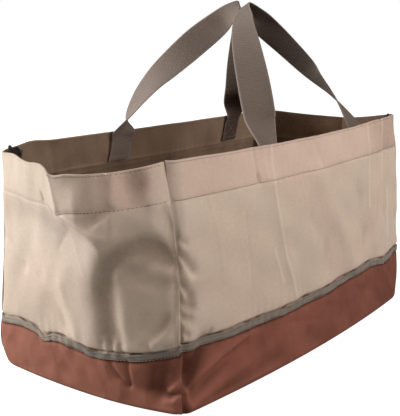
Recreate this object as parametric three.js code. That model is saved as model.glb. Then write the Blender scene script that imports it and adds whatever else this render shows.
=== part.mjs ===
// Log carrier: an open cloth tote with a brown lower band, a grey tape over the join,
// a deep top hem and two webbing handles. Millimetres, +Z up, long side along X.
import * as THREE from 'three';

// Driving sizes
const clothWall = 1.6; // one layer of coated cloth
const hemWall = 3.0; // the folded hem, two layers
const heelRadius = 8; // turn from the floor into the walls
const tapeMiddle = 78; // height of the join up the cloth
const tapeHalf = 4.2;
const tapeThick = 1.0;
const hemLine = 229; // height of the hem stitching up the cloth
const rimLine = 272; // height of the rim up the cloth
const baseThick = 2;
const webWidth = 39;
const webThick = 2;
const webInset = 0.5; // room between a strap end and the hem it is sewn to
const bindingWide = 12;
const bindingThick = 2;
const bindingRise = 3; // the corner binding stands this far above the rim
const cornerReach = 1.5; // the wall measured across a corner, in wall thicknesses
const seamGap = 0.3;
const tapeEndRoom = 1.2; // the tapes stop this far short of a corner seam
const longSide = 556; // cloth widths used to place the folds
const shortSide = 286;

// Steps of the sheets' grids
const seamSteps = [5, 10, 16]; // mm from a corner seam
const longSteps = 24;
const shortSteps = 16;
const strapSteps = 46;
const panelHeights = [84, 104, 126, 148, 170, 192, 212];
const bandHeights = [34, 54, 72];
const bindingHeights = [90, 120, 150, 180, 205];

const tones = {
  upper: 0xc3ad98,
  lower: 0x7d4b3d,
  tape: 0x78736a,
  web: 0x6a5d57,
  binding: 0x2c2523,
};

// Sections up the cloth: height of the seams, the four seam corners (as distances from the
// middle), how far each side bows outward, how creased the ends are, how far the ends sag
// and the rounding next to the seams.
const sectionColumns = [
  'cloth', 'z', 'flX', 'flY', 'frX', 'frY', 'brX', 'brY', 'blX', 'blY',
  'bowFront', 'bowRight', 'bowBack', 'bowLeft', 'crease', 'sagLeft', 'sagRight', 'turn',
];
const heelCloth = (heelRadius * Math.PI) / 2;
const sections = [
  [heelCloth, 8, 279, 146, 282, 145, 280, 142, 275, 134, 15, 12, 15, 16, 0, 0, 0, 12],
  [78, 72, 275, 138, 277, 136, 277, 135, 276, 136, 14, 22, 14, 40, 0.1, 11, 6, 14],
  [150, 143, 274, 139, 278, 134, 278, 126, 277, 128, 14, 32, 10, 46, 0.3, 9, 8, 14],
  [195, 187, 274, 136, 279, 129, 280, 118, 279, 120, 15, 38, 3, 53, 0.5, 9, 9, 13],
  [229, 220, 273, 125, 279, 120, 280, 112, 281, 114, 16, 46, -6, 62, 0.75, 10, 10, 12],
  [272, 261, 271, 113, 279, 109, 279, 106, 282, 109, 16, 52, -12, 74, 0.9, 11, 11, 10],
];

// Local rise (+) or sag (-) of the tape line: side, place along it, cloth height, spans, height
const sagRows = [
  { side: 'left', s: 0.3, t: 78, spanS: 0.17, spanT: 45, rise: 6 },
  { side: 'left', s: 0.84, t: 78, spanS: 0.13, spanT: 45, rise: -7 },
  { side: 'front', s: 0.3, t: 78, spanS: 0.2, spanT: 45, rise: -4.5 },
];

// Folds: ridges (+) and valleys (-) along a straight run on the cloth
const foldRows = [
  { side: 'left', s0: 0.69, t0: 112, s1: 0.73, t1: 146, height: -5, width: 16 },
  { side: 'left', s0: 0.73, t0: 146, s1: 0.8, t1: 174, height: -4, width: 16 },
  { side: 'left', s0: 0.8, t0: 174, s1: 0.93, t1: 188, height: -6, width: 17 },
  { side: 'left', s0: 0.88, t0: 104, s1: 0.9, t1: 140, height: 5, width: 24 },
  { side: 'left', s0: 0.34, t0: 110, s1: 0.4, t1: 190, height: 3, width: 26 },
  { side: 'front', s0: 0.32, t0: 221, s1: 0.38, t1: 84, height: 2.5, width: 15 },
  { side: 'front', s0: 0.51, t0: 214, s1: 0.66, t1: 99, height: 4, width: 20 },
  { side: 'front', s0: 0.83, t0: 234, s1: 0.8, t1: 110, height: 3, width: 17 },
  { side: 'front', s0: 0.05, t0: 22, s1: 0.22, t1: 50, height: -3, width: 16 },
  { side: 'back', s0: 0.3, t0: 220, s1: 0.36, t1: 96, height: 3, width: 20 },
  { side: 'back', s0: 0.66, t0: 225, s1: 0.6, t1: 110, height: 4, width: 22 },
  { side: 'right', s0: 0.3, t0: 205, s1: 0.36, t1: 112, height: -4, width: 20 },
  { side: 'right', s0: 0.68, t0: 110, s1: 0.62, t1: 190, height: 4, width: 24 },
];

const creaseAt = { front: 0.5, right: 0.5, back: 0.5, left: 0.575 };

// Straps: the sewn ends by their place on the side, then the free stations between them,
// each as x, y, z of the strap's middle and x, y, z of the direction across it
const straps = {
  front_handle: {
    side: 'front',
    leftEnd: { x: -91, across: 1 },
    rightEnd: { x: 143, across: -1 },
    free: [
      [-72, -105, 282, 0.88, -0.46, 0.07],
      [-64, -97, 294, 0.7, -0.71, 0.08],
      [-40, -72, 333, 0.5, -0.85, 0.13],
      [-16, -46, 374, 0.06, -0.99, 0.1],
      [-3, -34, 392, -0.18, -0.98, 0.06],
      [9, -26, 405, -0.36, -0.93, 0.09],
      [27, -18, 418, -0.66, -0.72, 0.16],
      [37, -28, 402, -0.3, -0.83, 0.45],
      [49, -37, 389, -0.25, -0.8, 0.55],
      [69, -50, 369, -0.31, -0.81, 0.49],
      [97, -69, 339, -0.5, -0.77, 0.4],
      [107, -79, 324, -0.68, -0.68, 0.28],
      [122, -91, 306, -0.82, -0.55, 0.14],
      [133, -100, 291, -0.89, -0.46, 0.08],
    ],
  },
  back_handle: {
    side: 'back',
    leftEnd: { x: -80, across: 1 },
    rightEnd: { x: 172, across: -1 },
    free: [
      [-67, 82, 302, -0.41, -0.89, -0.2],
      [-54, 70, 323, -0.28, -0.89, -0.36],
      [-38, 61, 339, -0.17, -0.81, -0.56],
      [1, 44, 371, 0, -0.65, -0.75],
      [39, 28, 399, -0.23, -0.68, -0.7],
      [53, 20, 414, -0.58, -0.69, -0.44],
      [65, 17, 420, -0.79, -0.57, -0.22],
      [82, 27, 400, -0.5, -0.85, 0],
      [105, 45, 366, -0.31, -0.95, 0.05],
      [125, 61, 336, -0.22, -0.97, 0.05],
      [150, 76, 305, 0.1, -0.99, 0],
      [166, 88, 280, 0.8, -0.6, 0],
    ],
  },
};

// Points across a strap
const webColumns = [-0.5, -0.17, 0.17, 0.5].map((share) => share * webWidth);

// Heights of a strap's sewn end up the cloth, and how far it leans off the hem there
const sewnRows = [
  { t: hemLine + 4, lean: 0 },
  { t: hemLine + 20, lean: 0 },
  { t: rimLine - 8, lean: 0.6 },
  { t: rimLine + 5, lean: 3 },
];

// Slopes of a table of rows against its first column, for smooth cubic runs between the rows
function slopesOf(rows, at) {
  return rows.map((row, k) => {
    const low = Math.max(k - 1, 0);
    const high = Math.min(k + 1, rows.length - 1);
    return row.map((value, c) => (rows[high][c] - rows[low][c]) / (at[high] - at[low]));
  });
}

function cubicRow(rows, at, slopes, place) {
  const inside = Math.min(Math.max(place, at[0]), at[at.length - 1]);
  let k = 0;
  while (k < at.length - 2 && inside > at[k + 1]) k += 1;
  const step = at[k + 1] - at[k];
  const u = (inside - at[k]) / step;
  const a = 2 * u ** 3 - 3 * u ** 2 + 1;
  const b = (u ** 3 - 2 * u ** 2 + u) * step;
  const c = -2 * u ** 3 + 3 * u ** 2;
  const d = (u ** 3 - u ** 2) * step;
  return rows[k].map(
    (value, j) => a * value + b * slopes[k][j] + c * rows[k + 1][j] + d * slopes[k + 1][j],
  );
}

const sectionAt = sections.map((row) => row[0]);
const sectionSlopes = slopesOf(sections, sectionAt);

function sectionOf(t) {
  const values = cubicRow(sections, sectionAt, sectionSlopes, t);
  const section = Object.fromEntries(sectionColumns.map((name, c) => [name, values[c]]));
  if (t < heelCloth) {
    const angle = t / heelRadius;
    section.z = heelRadius * (1 - Math.cos(angle));
    const inset = heelRadius * (1 - Math.sin(angle));
    for (const name of sectionColumns.slice(2, 10)) section[name] -= inset;
  }
  if (t > rimLine) section.z += t - rimLine;
  return section;
}

// A bow across a side: a round bow mixed with a creased one
function bowShape(s, top, crease) {
  const r = s < top ? s / top : (1 - s) / (1 - top);
  const soft = 0.06;
  const full = Math.hypot(1, soft) - soft;
  const creased = 1 - (Math.hypot(1 - r, soft) - soft) / full;
  const round = 1 - (1 - r) ** 2;
  return round * (1 - crease) + creased * crease;
}

function smooth(value, from, to) {
  const u = Math.min(Math.max((value - from) / (to - from), 0), 1);
  return u * u * (3 - 2 * u);
}

function foldHeight(side, s, t) {
  const wide = side === 'front' || side === 'back' ? longSide : shortSide;
  let total = 0;
  for (const fold of foldRows) {
    if (fold.side !== side) continue;
    const runX = (fold.s1 - fold.s0) * wide;
    const runT = fold.t1 - fold.t0;
    const atX = (s - fold.s0) * wide;
    const atT = t - fold.t0;
    const along = Math.min(Math.max((atX * runX + atT * runT) / (runX ** 2 + runT ** 2), 0), 1);
    const away = Math.hypot(atX - along * runX, atT - along * runT);
    total += fold.height * Math.exp(-((away / fold.width) ** 2));
  }
  const fromSeam = Math.min(s, 1 - s) * wide;
  return total * smooth(fromSeam, 4, 24) * smooth(t, 8, 24) * smooth(rimLine - t, 0, 20);
}

// A point of the outer face of one side, s from 0 to 1 along it, t up the cloth
function shellPoint(side, s, t) {
  const c = sectionOf(t);
  const corners = {
    fl: new THREE.Vector2(-c.flX, -c.flY),
    fr: new THREE.Vector2(c.frX, -c.frY),
    br: new THREE.Vector2(c.brX, c.brY),
    bl: new THREE.Vector2(-c.blX, c.blY),
  };
  const runs = {
    front: { from: corners.fl, to: corners.fr, bow: c.bowFront, crease: 0, sag: 0 },
    right: { from: corners.fr, to: corners.br, bow: c.bowRight, crease: c.crease / 2, sag: c.sagRight },
    back: { from: corners.br, to: corners.bl, bow: c.bowBack, crease: 0, sag: 0 },
    left: { from: corners.bl, to: corners.fl, bow: c.bowLeft, crease: c.crease, sag: c.sagLeft },
  };
  const run = runs[side];
  const along = run.to.clone().sub(run.from);
  const length = along.length();
  along.normalize();
  const outward = new THREE.Vector2(along.y, -along.x);
  const shape = bowShape(s, creaseAt[side], run.crease);
  let place = s * length;
  let off = run.bow * shape + foldHeight(side, s, t);
  const near = Math.min(place, length - place);
  if (near < c.turn) {
    const angle = ((1 - near / c.turn) * Math.PI) / 4;
    const shift = c.turn - c.turn * Math.sin(angle) - near;
    place += place < length / 2 ? shift : -shift;
    off -= c.turn * (1 - Math.cos(angle));
  }
  let z = c.z - run.sag * shape;
  for (const row of sagRows) {
    if (row.side !== side) continue;
    const reach = ((s - row.s) / row.spanS) ** 2 + ((t - row.t) / row.spanT) ** 2;
    z += row.rise * Math.exp(-reach) * smooth(t, 0, 30);
  }
  return new THREE.Vector3(
    run.from.x + along.x * place + outward.x * off,
    run.from.y + along.y * place + outward.y * off,
    z,
  );
}

function shellNormal(side, s, t) {
  const ds = 0.002;
  const dt = 0.5;
  const s0 = Math.max(s - ds, 0);
  const s1 = Math.min(s + ds, 1);
  const t0 = Math.max(t - dt, 0);
  const alongS = shellPoint(side, s1, t).sub(shellPoint(side, s0, t));
  const alongT = shellPoint(side, s, t + dt).sub(shellPoint(side, s, t0));
  return alongS.cross(alongT).normalize();
}

// The same point moved off the outer face, outward (+) or inward (-)
function offPoint(side, s, t, off) {
  return shellPoint(side, s, t).addScaledVector(shellNormal(side, s, t), off);
}

// A closed sheet between two matching grids of points
function sheetGeometry(outer, inner) {
  const rows = outer.length;
  const wide = outer[0].length;
  const positions = [];
  for (const grid of [outer, inner]) {
    for (const row of grid) {
      for (const p of row) positions.push(p.x, p.y, p.z);
    }
  }
  const layer = rows * wide;
  const id = (face, i, j) => face * layer + i * wide + j;
  const index = [];
  const quad = (a, b, c, d) => index.push(a, b, c, a, c, d);
  for (let i = 0; i < rows - 1; i += 1) {
    for (let j = 0; j < wide - 1; j += 1) {
      quad(id(0, i, j), id(0, i, j + 1), id(0, i + 1, j + 1), id(0, i + 1, j));
      quad(id(1, i, j), id(1, i + 1, j), id(1, i + 1, j + 1), id(1, i, j + 1));
    }
  }
  for (let i = 0; i < rows - 1; i += 1) {
    quad(id(0, i, 0), id(0, i + 1, 0), id(1, i + 1, 0), id(1, i, 0));
    quad(id(0, i + 1, wide - 1), id(0, i, wide - 1), id(1, i, wide - 1), id(1, i + 1, wide - 1));
  }
  for (let j = 0; j < wide - 1; j += 1) {
    quad(id(0, 0, j + 1), id(0, 0, j), id(1, 0, j), id(1, 0, j + 1));
    quad(id(0, rows - 1, j), id(0, rows - 1, j + 1), id(1, rows - 1, j + 1), id(1, rows - 1, j));
  }
  if (signedVolume(positions, index) < 0) index.reverse();
  const geometry = new THREE.BufferGeometry();
  geometry.setAttribute('position', new THREE.Float32BufferAttribute(positions, 3));
  geometry.setIndex(index);
  geometry.computeVertexNormals();
  return geometry;
}

function signedVolume(positions, index) {
  const a = new THREE.Vector3();
  const b = new THREE.Vector3();
  const c = new THREE.Vector3();
  let volume = 0;
  for (let k = 0; k < index.length; k += 3) {
    a.fromArray(positions, index[k] * 3);
    b.fromArray(positions, index[k + 1] * 3);
    c.fromArray(positions, index[k + 2] * 3);
    volume += a.dot(b.cross(c));
  }
  return volume / 6;
}

// Places along a side: close steps next to the two seams, even steps between
function sidePlaces(side, endRoom) {
  const isLong = side === 'front' || side === 'back';
  const wide = isLong ? longSide : shortSide;
  const steps = isLong ? longSteps : shortSteps;
  const nearSeam = [endRoom, ...seamSteps].map((mm) => mm / wide);
  const first = nearSeam[nearSeam.length - 1];
  const places = nearSeam.slice();
  for (let k = 1; k < steps; k += 1) places.push(first + ((1 - 2 * first) * k) / steps);
  for (const step of nearSeam.slice().reverse()) places.push(1 - step);
  return places;
}

function clothSheet(side, heights, wallAt) {
  const places = sidePlaces(side, seamGap / 2);
  const outer = heights.map((t) => places.map((s) => shellPoint(side, s, t)));
  const inner = heights.map((t) => places.map((s) => offPoint(side, s, t, -wallAt(t))));
  return sheetGeometry(outer, inner);
}

function panelGeometry(side) {
  const hemMiddle = (hemLine + rimLine) / 2;
  const hemHeights = [hemLine - 3, hemLine + 1, hemMiddle, rimLine];
  const heights = [tapeMiddle + seamGap / 2, ...panelHeights, ...hemHeights];
  return clothSheet(side, heights, (t) => (t > hemLine ? hemWall : clothWall));
}

function bandGeometry(side) {
  const heights = [0, heelCloth / 2, heelCloth, ...bandHeights, tapeMiddle - seamGap / 2];
  return clothSheet(side, heights, () => clothWall);
}

function tapeGeometry(side) {
  const places = sidePlaces(side, tapeEndRoom);
  const heights = [tapeMiddle - tapeHalf, tapeMiddle, tapeMiddle + tapeHalf];
  const near = heights.map((t) => places.map((s) => offPoint(side, s, t, seamGap)));
  const far = heights.map((t) => places.map((s) => offPoint(side, s, t, seamGap + tapeThick)));
  return sheetGeometry(far, near);
}

function baseGeometry() {
  const outline = [];
  for (const side of ['front', 'right', 'back', 'left']) {
    for (const s of sidePlaces(side, seamGap / 2)) {
      const p = shellPoint(side, s, 0);
      outline.push(new THREE.Vector2(p.x, p.y));
    }
  }
  const shape = new THREE.Shape(outline.map((p, k) => {
    const before = outline[(k + outline.length - 1) % outline.length];
    const after = outline[(k + 1) % outline.length];
    const run = after.clone().sub(before).normalize();
    return new THREE.Vector2(p.x - run.y * seamGap, p.y + run.x * seamGap);
  }));
  return new THREE.ExtrudeGeometry(shape, { depth: baseThick, bevelEnabled: false });
}

// Sewn station of a strap: four points across it, on the inner face of the hem
function sewnStation(side, end, { t, lean }) {
  const c = sectionOf(t);
  const span = side === 'front' ? c.flX + c.frX : c.brX + c.blX;
  const middle = side === 'front' ? (end.x + c.flX) / span : (c.brX - end.x) / span;
  const depth = hemWall + webInset + webThick / 2 + lean;
  return webColumns.map((off) => offPoint(side, middle + (end.across * off) / span, t, -depth));
}

function strapGeometry(strap) {
  const stations = sewnRows.map((row) => sewnStation(strap.side, strap.leftEnd, row));
  for (const [x, y, z, ax, ay, az] of strap.free) {
    const across = new THREE.Vector3(ax, ay, az).normalize();
    stations.push(webColumns.map((off) => new THREE.Vector3(x, y, z).addScaledVector(across, off)));
  }
  for (const row of sewnRows.slice().reverse()) {
    stations.push(sewnStation(strap.side, strap.rightEnd, row));
  }
  const rows = stations.map((points) => points.flatMap((p) => [p.x, p.y, p.z]));
  const at = [0];
  for (let k = 1; k < rows.length; k += 1) {
    const step = Math.hypot(...[3, 4, 5].map((c) => rows[k][c] - rows[k - 1][c]));
    at.push(at[k - 1] + Math.sqrt(step));
  }
  const slopes = slopesOf(rows, at);
  const middle = [];
  for (let k = 0; k <= strapSteps; k += 1) {
    const row = cubicRow(rows, at, slopes, (at[at.length - 1] * k) / strapSteps);
    middle.push(webColumns.map((off, j) => new THREE.Vector3().fromArray(row, j * 3)));
  }
  const last = webColumns.length - 1;
  const faces = [1, -1].map((way) => middle.map((row, k) => row.map((p, j) => {
    const before = middle[Math.max(k - 1, 0)][j];
    const after = middle[Math.min(k + 1, strapSteps)][j];
    const across = row[Math.min(j + 1, last)].clone().sub(row[Math.max(j - 1, 0)]);
    const normal = after.clone().sub(before).cross(across).normalize();
    return p.clone().addScaledVector(normal, (way * webThick) / 2);
  })));
  return sheetGeometry(faces[0], faces[1]);
}

// Binding on the seam allowance: a fin standing inward from a corner seam
function bindingGeometry(side) {
  const hemHeights = [hemLine - 5, hemLine, rimLine, rimLine + bindingRise];
  const fin = [...bindingHeights, ...hemHeights].map((t) => {
    const seam = shellPoint(side, 0, t);
    const inward = new THREE.Vector3(-Math.sign(seam.x), -Math.sign(seam.y), 0).normalize();
    const sideways = new THREE.Vector3(-inward.y, inward.x, 0);
    const start = (t >= hemLine - 5 ? hemWall : clothWall) * cornerReach;
    return [start, bindingWide / 2 + start, bindingWide + start].map((reach) => ({
      point: seam.clone().addScaledVector(inward, reach),
      sideways,
    }));
  });
  const face = (way) => fin.map((row) => row.map(({ point, sideways }) => (
    point.clone().addScaledVector(sideways, (way * bindingThick) / 2)
  )));
  return sheetGeometry(face(1), face(-1));
}

function cloth(color) {
  return new THREE.MeshStandardMaterial({ color, roughness: 0.9, metalness: 0 });
}

const materials = Object.fromEntries(
  Object.entries(tones).map(([name, color]) => [name, cloth(color)]),
);

const carrier = new THREE.Group();

function add(name, geometry, material) {
  const mesh = new THREE.Mesh(geometry, materials[material]);
  mesh.name = name;
  carrier.add(mesh);
}

const sideNames = { front: 'front', back: 'back', left: 'left_end', right: 'right_end' };
for (const [side, name] of Object.entries(sideNames)) {
  add(`${name}_panel`, panelGeometry(side), 'upper');
  add(`${name}_band`, bandGeometry(side), 'lower');
  add(`${name}_tape`, tapeGeometry(side), 'tape');
}
add('base_panel', baseGeometry(), 'lower');
for (const [name, strap] of Object.entries(straps)) add(name, strapGeometry(strap), 'web');
add('front_left_binding', bindingGeometry('front'), 'binding');
add('front_right_binding', bindingGeometry('right'), 'binding');
add('back_right_binding', bindingGeometry('back'), 'binding');
add('back_left_binding', bindingGeometry('left'), 'binding');

// The origin is the middle of the underside of the bounding box
const box = new THREE.Box3().setFromObject(carrier);
const middle = box.getCenter(new THREE.Vector3());
carrier.position.set(-middle.x, -middle.y, -box.min.z);

const part = new THREE.Group();
part.name = 'log_carrier';
part.add(carrier);

export default part;
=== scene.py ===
import bpy
import numpy as np
from mathutils import Euler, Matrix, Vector


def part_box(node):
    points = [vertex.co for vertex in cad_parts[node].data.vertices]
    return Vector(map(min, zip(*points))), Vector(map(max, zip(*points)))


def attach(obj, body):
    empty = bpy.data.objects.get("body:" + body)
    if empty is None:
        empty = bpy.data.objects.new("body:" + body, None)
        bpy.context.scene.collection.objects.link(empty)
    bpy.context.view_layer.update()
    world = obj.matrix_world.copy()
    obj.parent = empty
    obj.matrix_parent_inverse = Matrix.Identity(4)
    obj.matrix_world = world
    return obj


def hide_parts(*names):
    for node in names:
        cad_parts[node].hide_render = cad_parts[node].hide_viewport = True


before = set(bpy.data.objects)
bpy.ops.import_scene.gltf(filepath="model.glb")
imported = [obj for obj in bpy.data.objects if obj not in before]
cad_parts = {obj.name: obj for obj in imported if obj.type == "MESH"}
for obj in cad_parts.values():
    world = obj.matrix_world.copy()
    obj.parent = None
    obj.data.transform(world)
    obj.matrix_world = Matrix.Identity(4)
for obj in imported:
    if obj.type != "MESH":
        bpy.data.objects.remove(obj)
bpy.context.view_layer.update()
mm = 0.001
print("frame:", len(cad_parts), "nodes")


# small helpers on arrays

def smoothStep(value, low, high):
    # 0 below low, 1 above high, a smooth cubic between
    u = np.clip((value - low) / (high - low), 0, 1)
    return u * u * (3 - 2 * u)


def smoothRun(where, stops):
    # through a row of stops, each a place and a value, with a smooth step from one to the next
    total = stops[0][1] + 0 * where
    for (low, before), (high, after) in zip(stops[:-1], stops[1:]):
        total = total + (after - before) * smoothStep(where, low, high)
    return total


def waveSum(x, waves):
    # sum of sines along x: height, wave length over two pi, and phase of each
    return sum(height * np.sin(x / length + phase) for height, length, phase in waves)


def bell(value, width):
    # a round bump: e to the minus (value / width) squared
    return np.exp(-(value / width) ** 2)


def unit(vectors):
    # each vector divided by its length
    return vectors / np.maximum(np.linalg.norm(vectors, axis=-1, keepdims=True), 1e-12)


def cubicThrough(at, rows, where):
    # smooth run through a table: Hermite cubics whose slopes are the chords between neighbours
    at = np.asarray(at, float)
    rows = np.asarray(rows, float)
    index = np.arange(len(at))
    low = np.maximum(index - 1, 0)
    high = np.minimum(index + 1, len(at) - 1)
    slopes = (rows[high] - rows[low]) / (at[high] - at[low])[:, None]
    inside = np.clip(where, at[0], at[-1])
    k = np.clip(np.searchsorted(at, inside) - 1, 0, len(at) - 2)
    step = (at[k + 1] - at[k])[..., None]
    u = (inside - at[k])[..., None] / step
    start = (2 * u**3 - 3 * u**2 + 1) * rows[k] + (u**3 - 2 * u**2 + u) * step * slopes[k]
    end = (3 * u**2 - 2 * u**3) * rows[k + 1] + (u**3 - u**2) * step * slopes[k + 1]
    return start + end


# the cloth shell: a place s from 0 to 1 along a side, and a height t in mm up the cloth

shell = {
    "heelRadius": 6.5,  # turn from the floor into the walls
    "tapeLine": 78.0,  # heights up the cloth: the join, the hem stitching, the rim
    "hemLine": 229.0,
    "rimLine": 272.0,
    "width": {"front": 556.0, "back": 556.0, "left": 286.0, "right": 286.0},
    "creaseShare": {"front": 0.0, "right": 0.5, "back": 0.0, "left": 1.0},
    "creaseSoft": ((160, 0.09), (205, 0.025)),  # rounding of an end's crease, low down and high up
    "edgeRise": 2.6,  # the end cloth's edge stands proud of a corner seam
    "edgeWide": 2.0,
    "edgeEnd": (6, 0),  # depths below the hem between which it lies down
    "edgeDip": 2.0,  # the long side's cloth dips beside it
    "edgeDipWide": 2.6,
    "edgeDipEnd": (40, 12),
    "edgeDipHem": 0.05,  # share of the dip that is left in the hem
    "tapeGroove": 2.0,  # cloth drawn in just above the tape, more and less along it
    "tapeGrooveAt": 83.2,
    "tapeGrooveWide": 1.5,
    "tapeGrooveShare": 0.7,
    "tapeGrooveWaves": ((0.3, 7.3, 1),),
    "hemDip": 0.6,  # cloth drawn in under the hem stitches
    "hemDipWide": 2.4,
    "tapeDip": 1.5,  # cloth drawn in under the tape
    "tapeDipWide": 7.0,
    "foldSeam": (2, 18),  # distances over which relief fades in from the seams, the floor and the rim
    "foldFloor": (8, 24),
    "foldRim": (0, 20),
    "fineSeam": (-1, 5),
    "fineFloor": (4, 14),
    "sagFloor": (0, 30),
    "crestRound": 1 / 6,  # a sharp fold's crest
    "crestSteep": 1.3,
}
heelCloth = shell["heelRadius"] * np.pi / 2
endSides = ("left", "right")
sideCorners = {"front": ("fl", "fr"), "right": ("fr", "br"), "back": ("br", "bl"), "left": ("bl", "fl")}
cornerSigns = {"fl": (-1, -1), "fr": (1, -1), "br": (1, 1), "bl": (-1, 1)}

# one row for each of these levels of the cloth
sectionLevels = (heelCloth, 34.0, shell["tapeLine"], 150.0, 195.0, shell["hemLine"], shell["rimLine"])

# height above the floor, and the corner seams as distances from the middle
cornerColumns = ("z", "flX", "flY", "frX", "frY", "brX", "brY", "blX", "blY")
cornerRows = (
    (shell["heelRadius"], 278.5, 147, 282, 141, 280, 142, 275, 134),
    (29.5, 276, 144.5, 280.5, 139, 279, 139.5, 275, 133),
    (72, 272.5, 141, 278, 136, 277, 135, 275, 131),
    (143, 273.5, 140, 274, 131, 278, 126, 275, 121),
    (187, 274, 136, 276, 127, 280, 118, 278, 116),
    (220, 273.5, 129, 281, 123, 282, 114, 282, 113),
    (261, 271, 120, 286, 117, 282, 109, 285, 111),
)

# outward bows, share of the ends' crease and its place, sags of the ends, radii of the corner turns
formColumns = (
    "bowFront", "bowRight", "bowBack", "bowLeft", "crease", "creaseNear", "apexLeft",
    "sagLeft", "sagRight", "turnFl", "turnFr", "turnBr", "turnBl",
)
formRows = (
    (15, 12, 15, 16, 0, 0, 0.6, 0, 0, 12, 54, 20, 30),
    (14.6, 15.5, 14.8, 21, 0.1, 0.07, 0.63, 5, 2.3, 13, 34, 19, 15),
    (14, 22, 14, 31, 0.3, 0.2, 0.68, 13, 6, 14, 27, 18, 14),
    (14, 32, 10, 45, 0.75, 0.5, 0.69, 9, 8, 14, 18, 14, 14),
    (15, 38, 3, 52, 0.82, 0.6, 0.76, 9, 9, 14, 14, 14, 14),
    (16, 46, -6, 58, 0.88, 0.22, 0.605, 9, 10, 18, 18, 18, 18),
    (16, 52, -12, 65, 0.94, 0.08, 0.58, 10, 11, 22, 22, 22, 22),
)
sectionColumns = cornerColumns + formColumns
sectionRows = np.hstack([np.array(cornerRows, float), np.array(formRows, float)])

# rises (+) and sags (-) of the level lines: place, cloth height, spans, rise
sagRows = {
    "left": [
        (0, 272, 0.16, 50, -4.5), (0.5, 268, 0.1, 48, 4.5), (0.6, 272, 0.045, 28, -4),
        (0.57, 229, 0.05, 20, -4.5), (0, 78, 0.16, 42, -15), (0.66, 78, 0.07, 40, -2),
        (0.84, 78, 0.13, 45, -4), (1, 78, 0.1, 42, -3.6), (0.36, 80, 0.04, 14, -6),
        (0.48, 80, 0.04, 14, 2), (0.35, 78, 0.3, 40, -2.5), (0.12, 229, 0.28, 26, -3.5),
        (0.84, 272, 0.17, 24, -2.4), (0.22, 272, 0.1, 24, 2), (1, 229, 0.16, 22, 2),
    ],
    "front": [
        (0, 78, 0.1, 42, -3), (0.16, 78, 0.12, 45, -3), (0.34, 78, 0.12, 45, -5),
        (0.52, 78, 0.1, 45, -4), (0.86, 78, 0.06, 45, -6), (1, 272, 0.3, 50, 5),
        (0.15, 229, 0.4, 22, 2),
    ],
    "back": [
        (1, 272, 0.1, 50, -4.5), (0.91, 272, 0.035, 40, 3), (1, 78, 0.1, 42, -12),
    ],
    "right": [
        (0, 272, 0.3, 50, 5),
    ],
}

# folds: rise (+) or fall (-), half width, sharpness from 0 to 1, then the places and heights on its run
foldRows = {
    "left": [
        (-6.4, 16, 0, (0.74, 104), (0.738, 146), (0.77, 176), (0.845, 193), (0.885, 194),
         (0.938, 184), (1, 168)), (4, 22, 0, (0.7, 232), (0.8, 227), (0.97, 224)),
        (1, 6, 0.4, (0.795, 160), (0.84, 177), (0.9, 178), (0.95, 168)),
        (2, 26, 0, (0.88, 112), (0.88, 146)), (-3, 12, 0, (0.95, 108), (0.947, 146)),
        (2, 26, 0, (0.34, 110), (0.4, 190)), (-1.6, 10, 0.1, (0.36, 140), (0.52, 97)),
        (1.5, 9, 0.2, (0.5, 140), (0.57, 95)), (2, 16, 0, (0.04, 190), (0.09, 140)),
        (-2.2, 7, 0.3, (0.03, 168), (0.12, 160), (0.22, 143)),
    ],
    "front": [
        (2, 15, 0, (0.31, 221), (0.38, 88)), (3, 18, 0, (0.498, 215), (0.668, 92)),
        (3, 15, 0, (0.83, 234), (0.8, 110)), (-1, 16, 0, (0.43, 200), (0.54, 110)),
        (-1, 16, 0, (0.71, 215), (0.73, 120)), (2, 24, 0, (0.12, 200), (0.16, 110)),
    ],
    "back": [
        (3, 20, 0, (0.3, 220), (0.36, 96)), (4, 22, 0, (0.66, 225), (0.6, 110)),
    ],
    "right": [
        (-4, 20, 0, (0.3, 205), (0.36, 112)), (4, 24, 0, (0.68, 110), (0.62, 190)),
    ],
}

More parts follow.
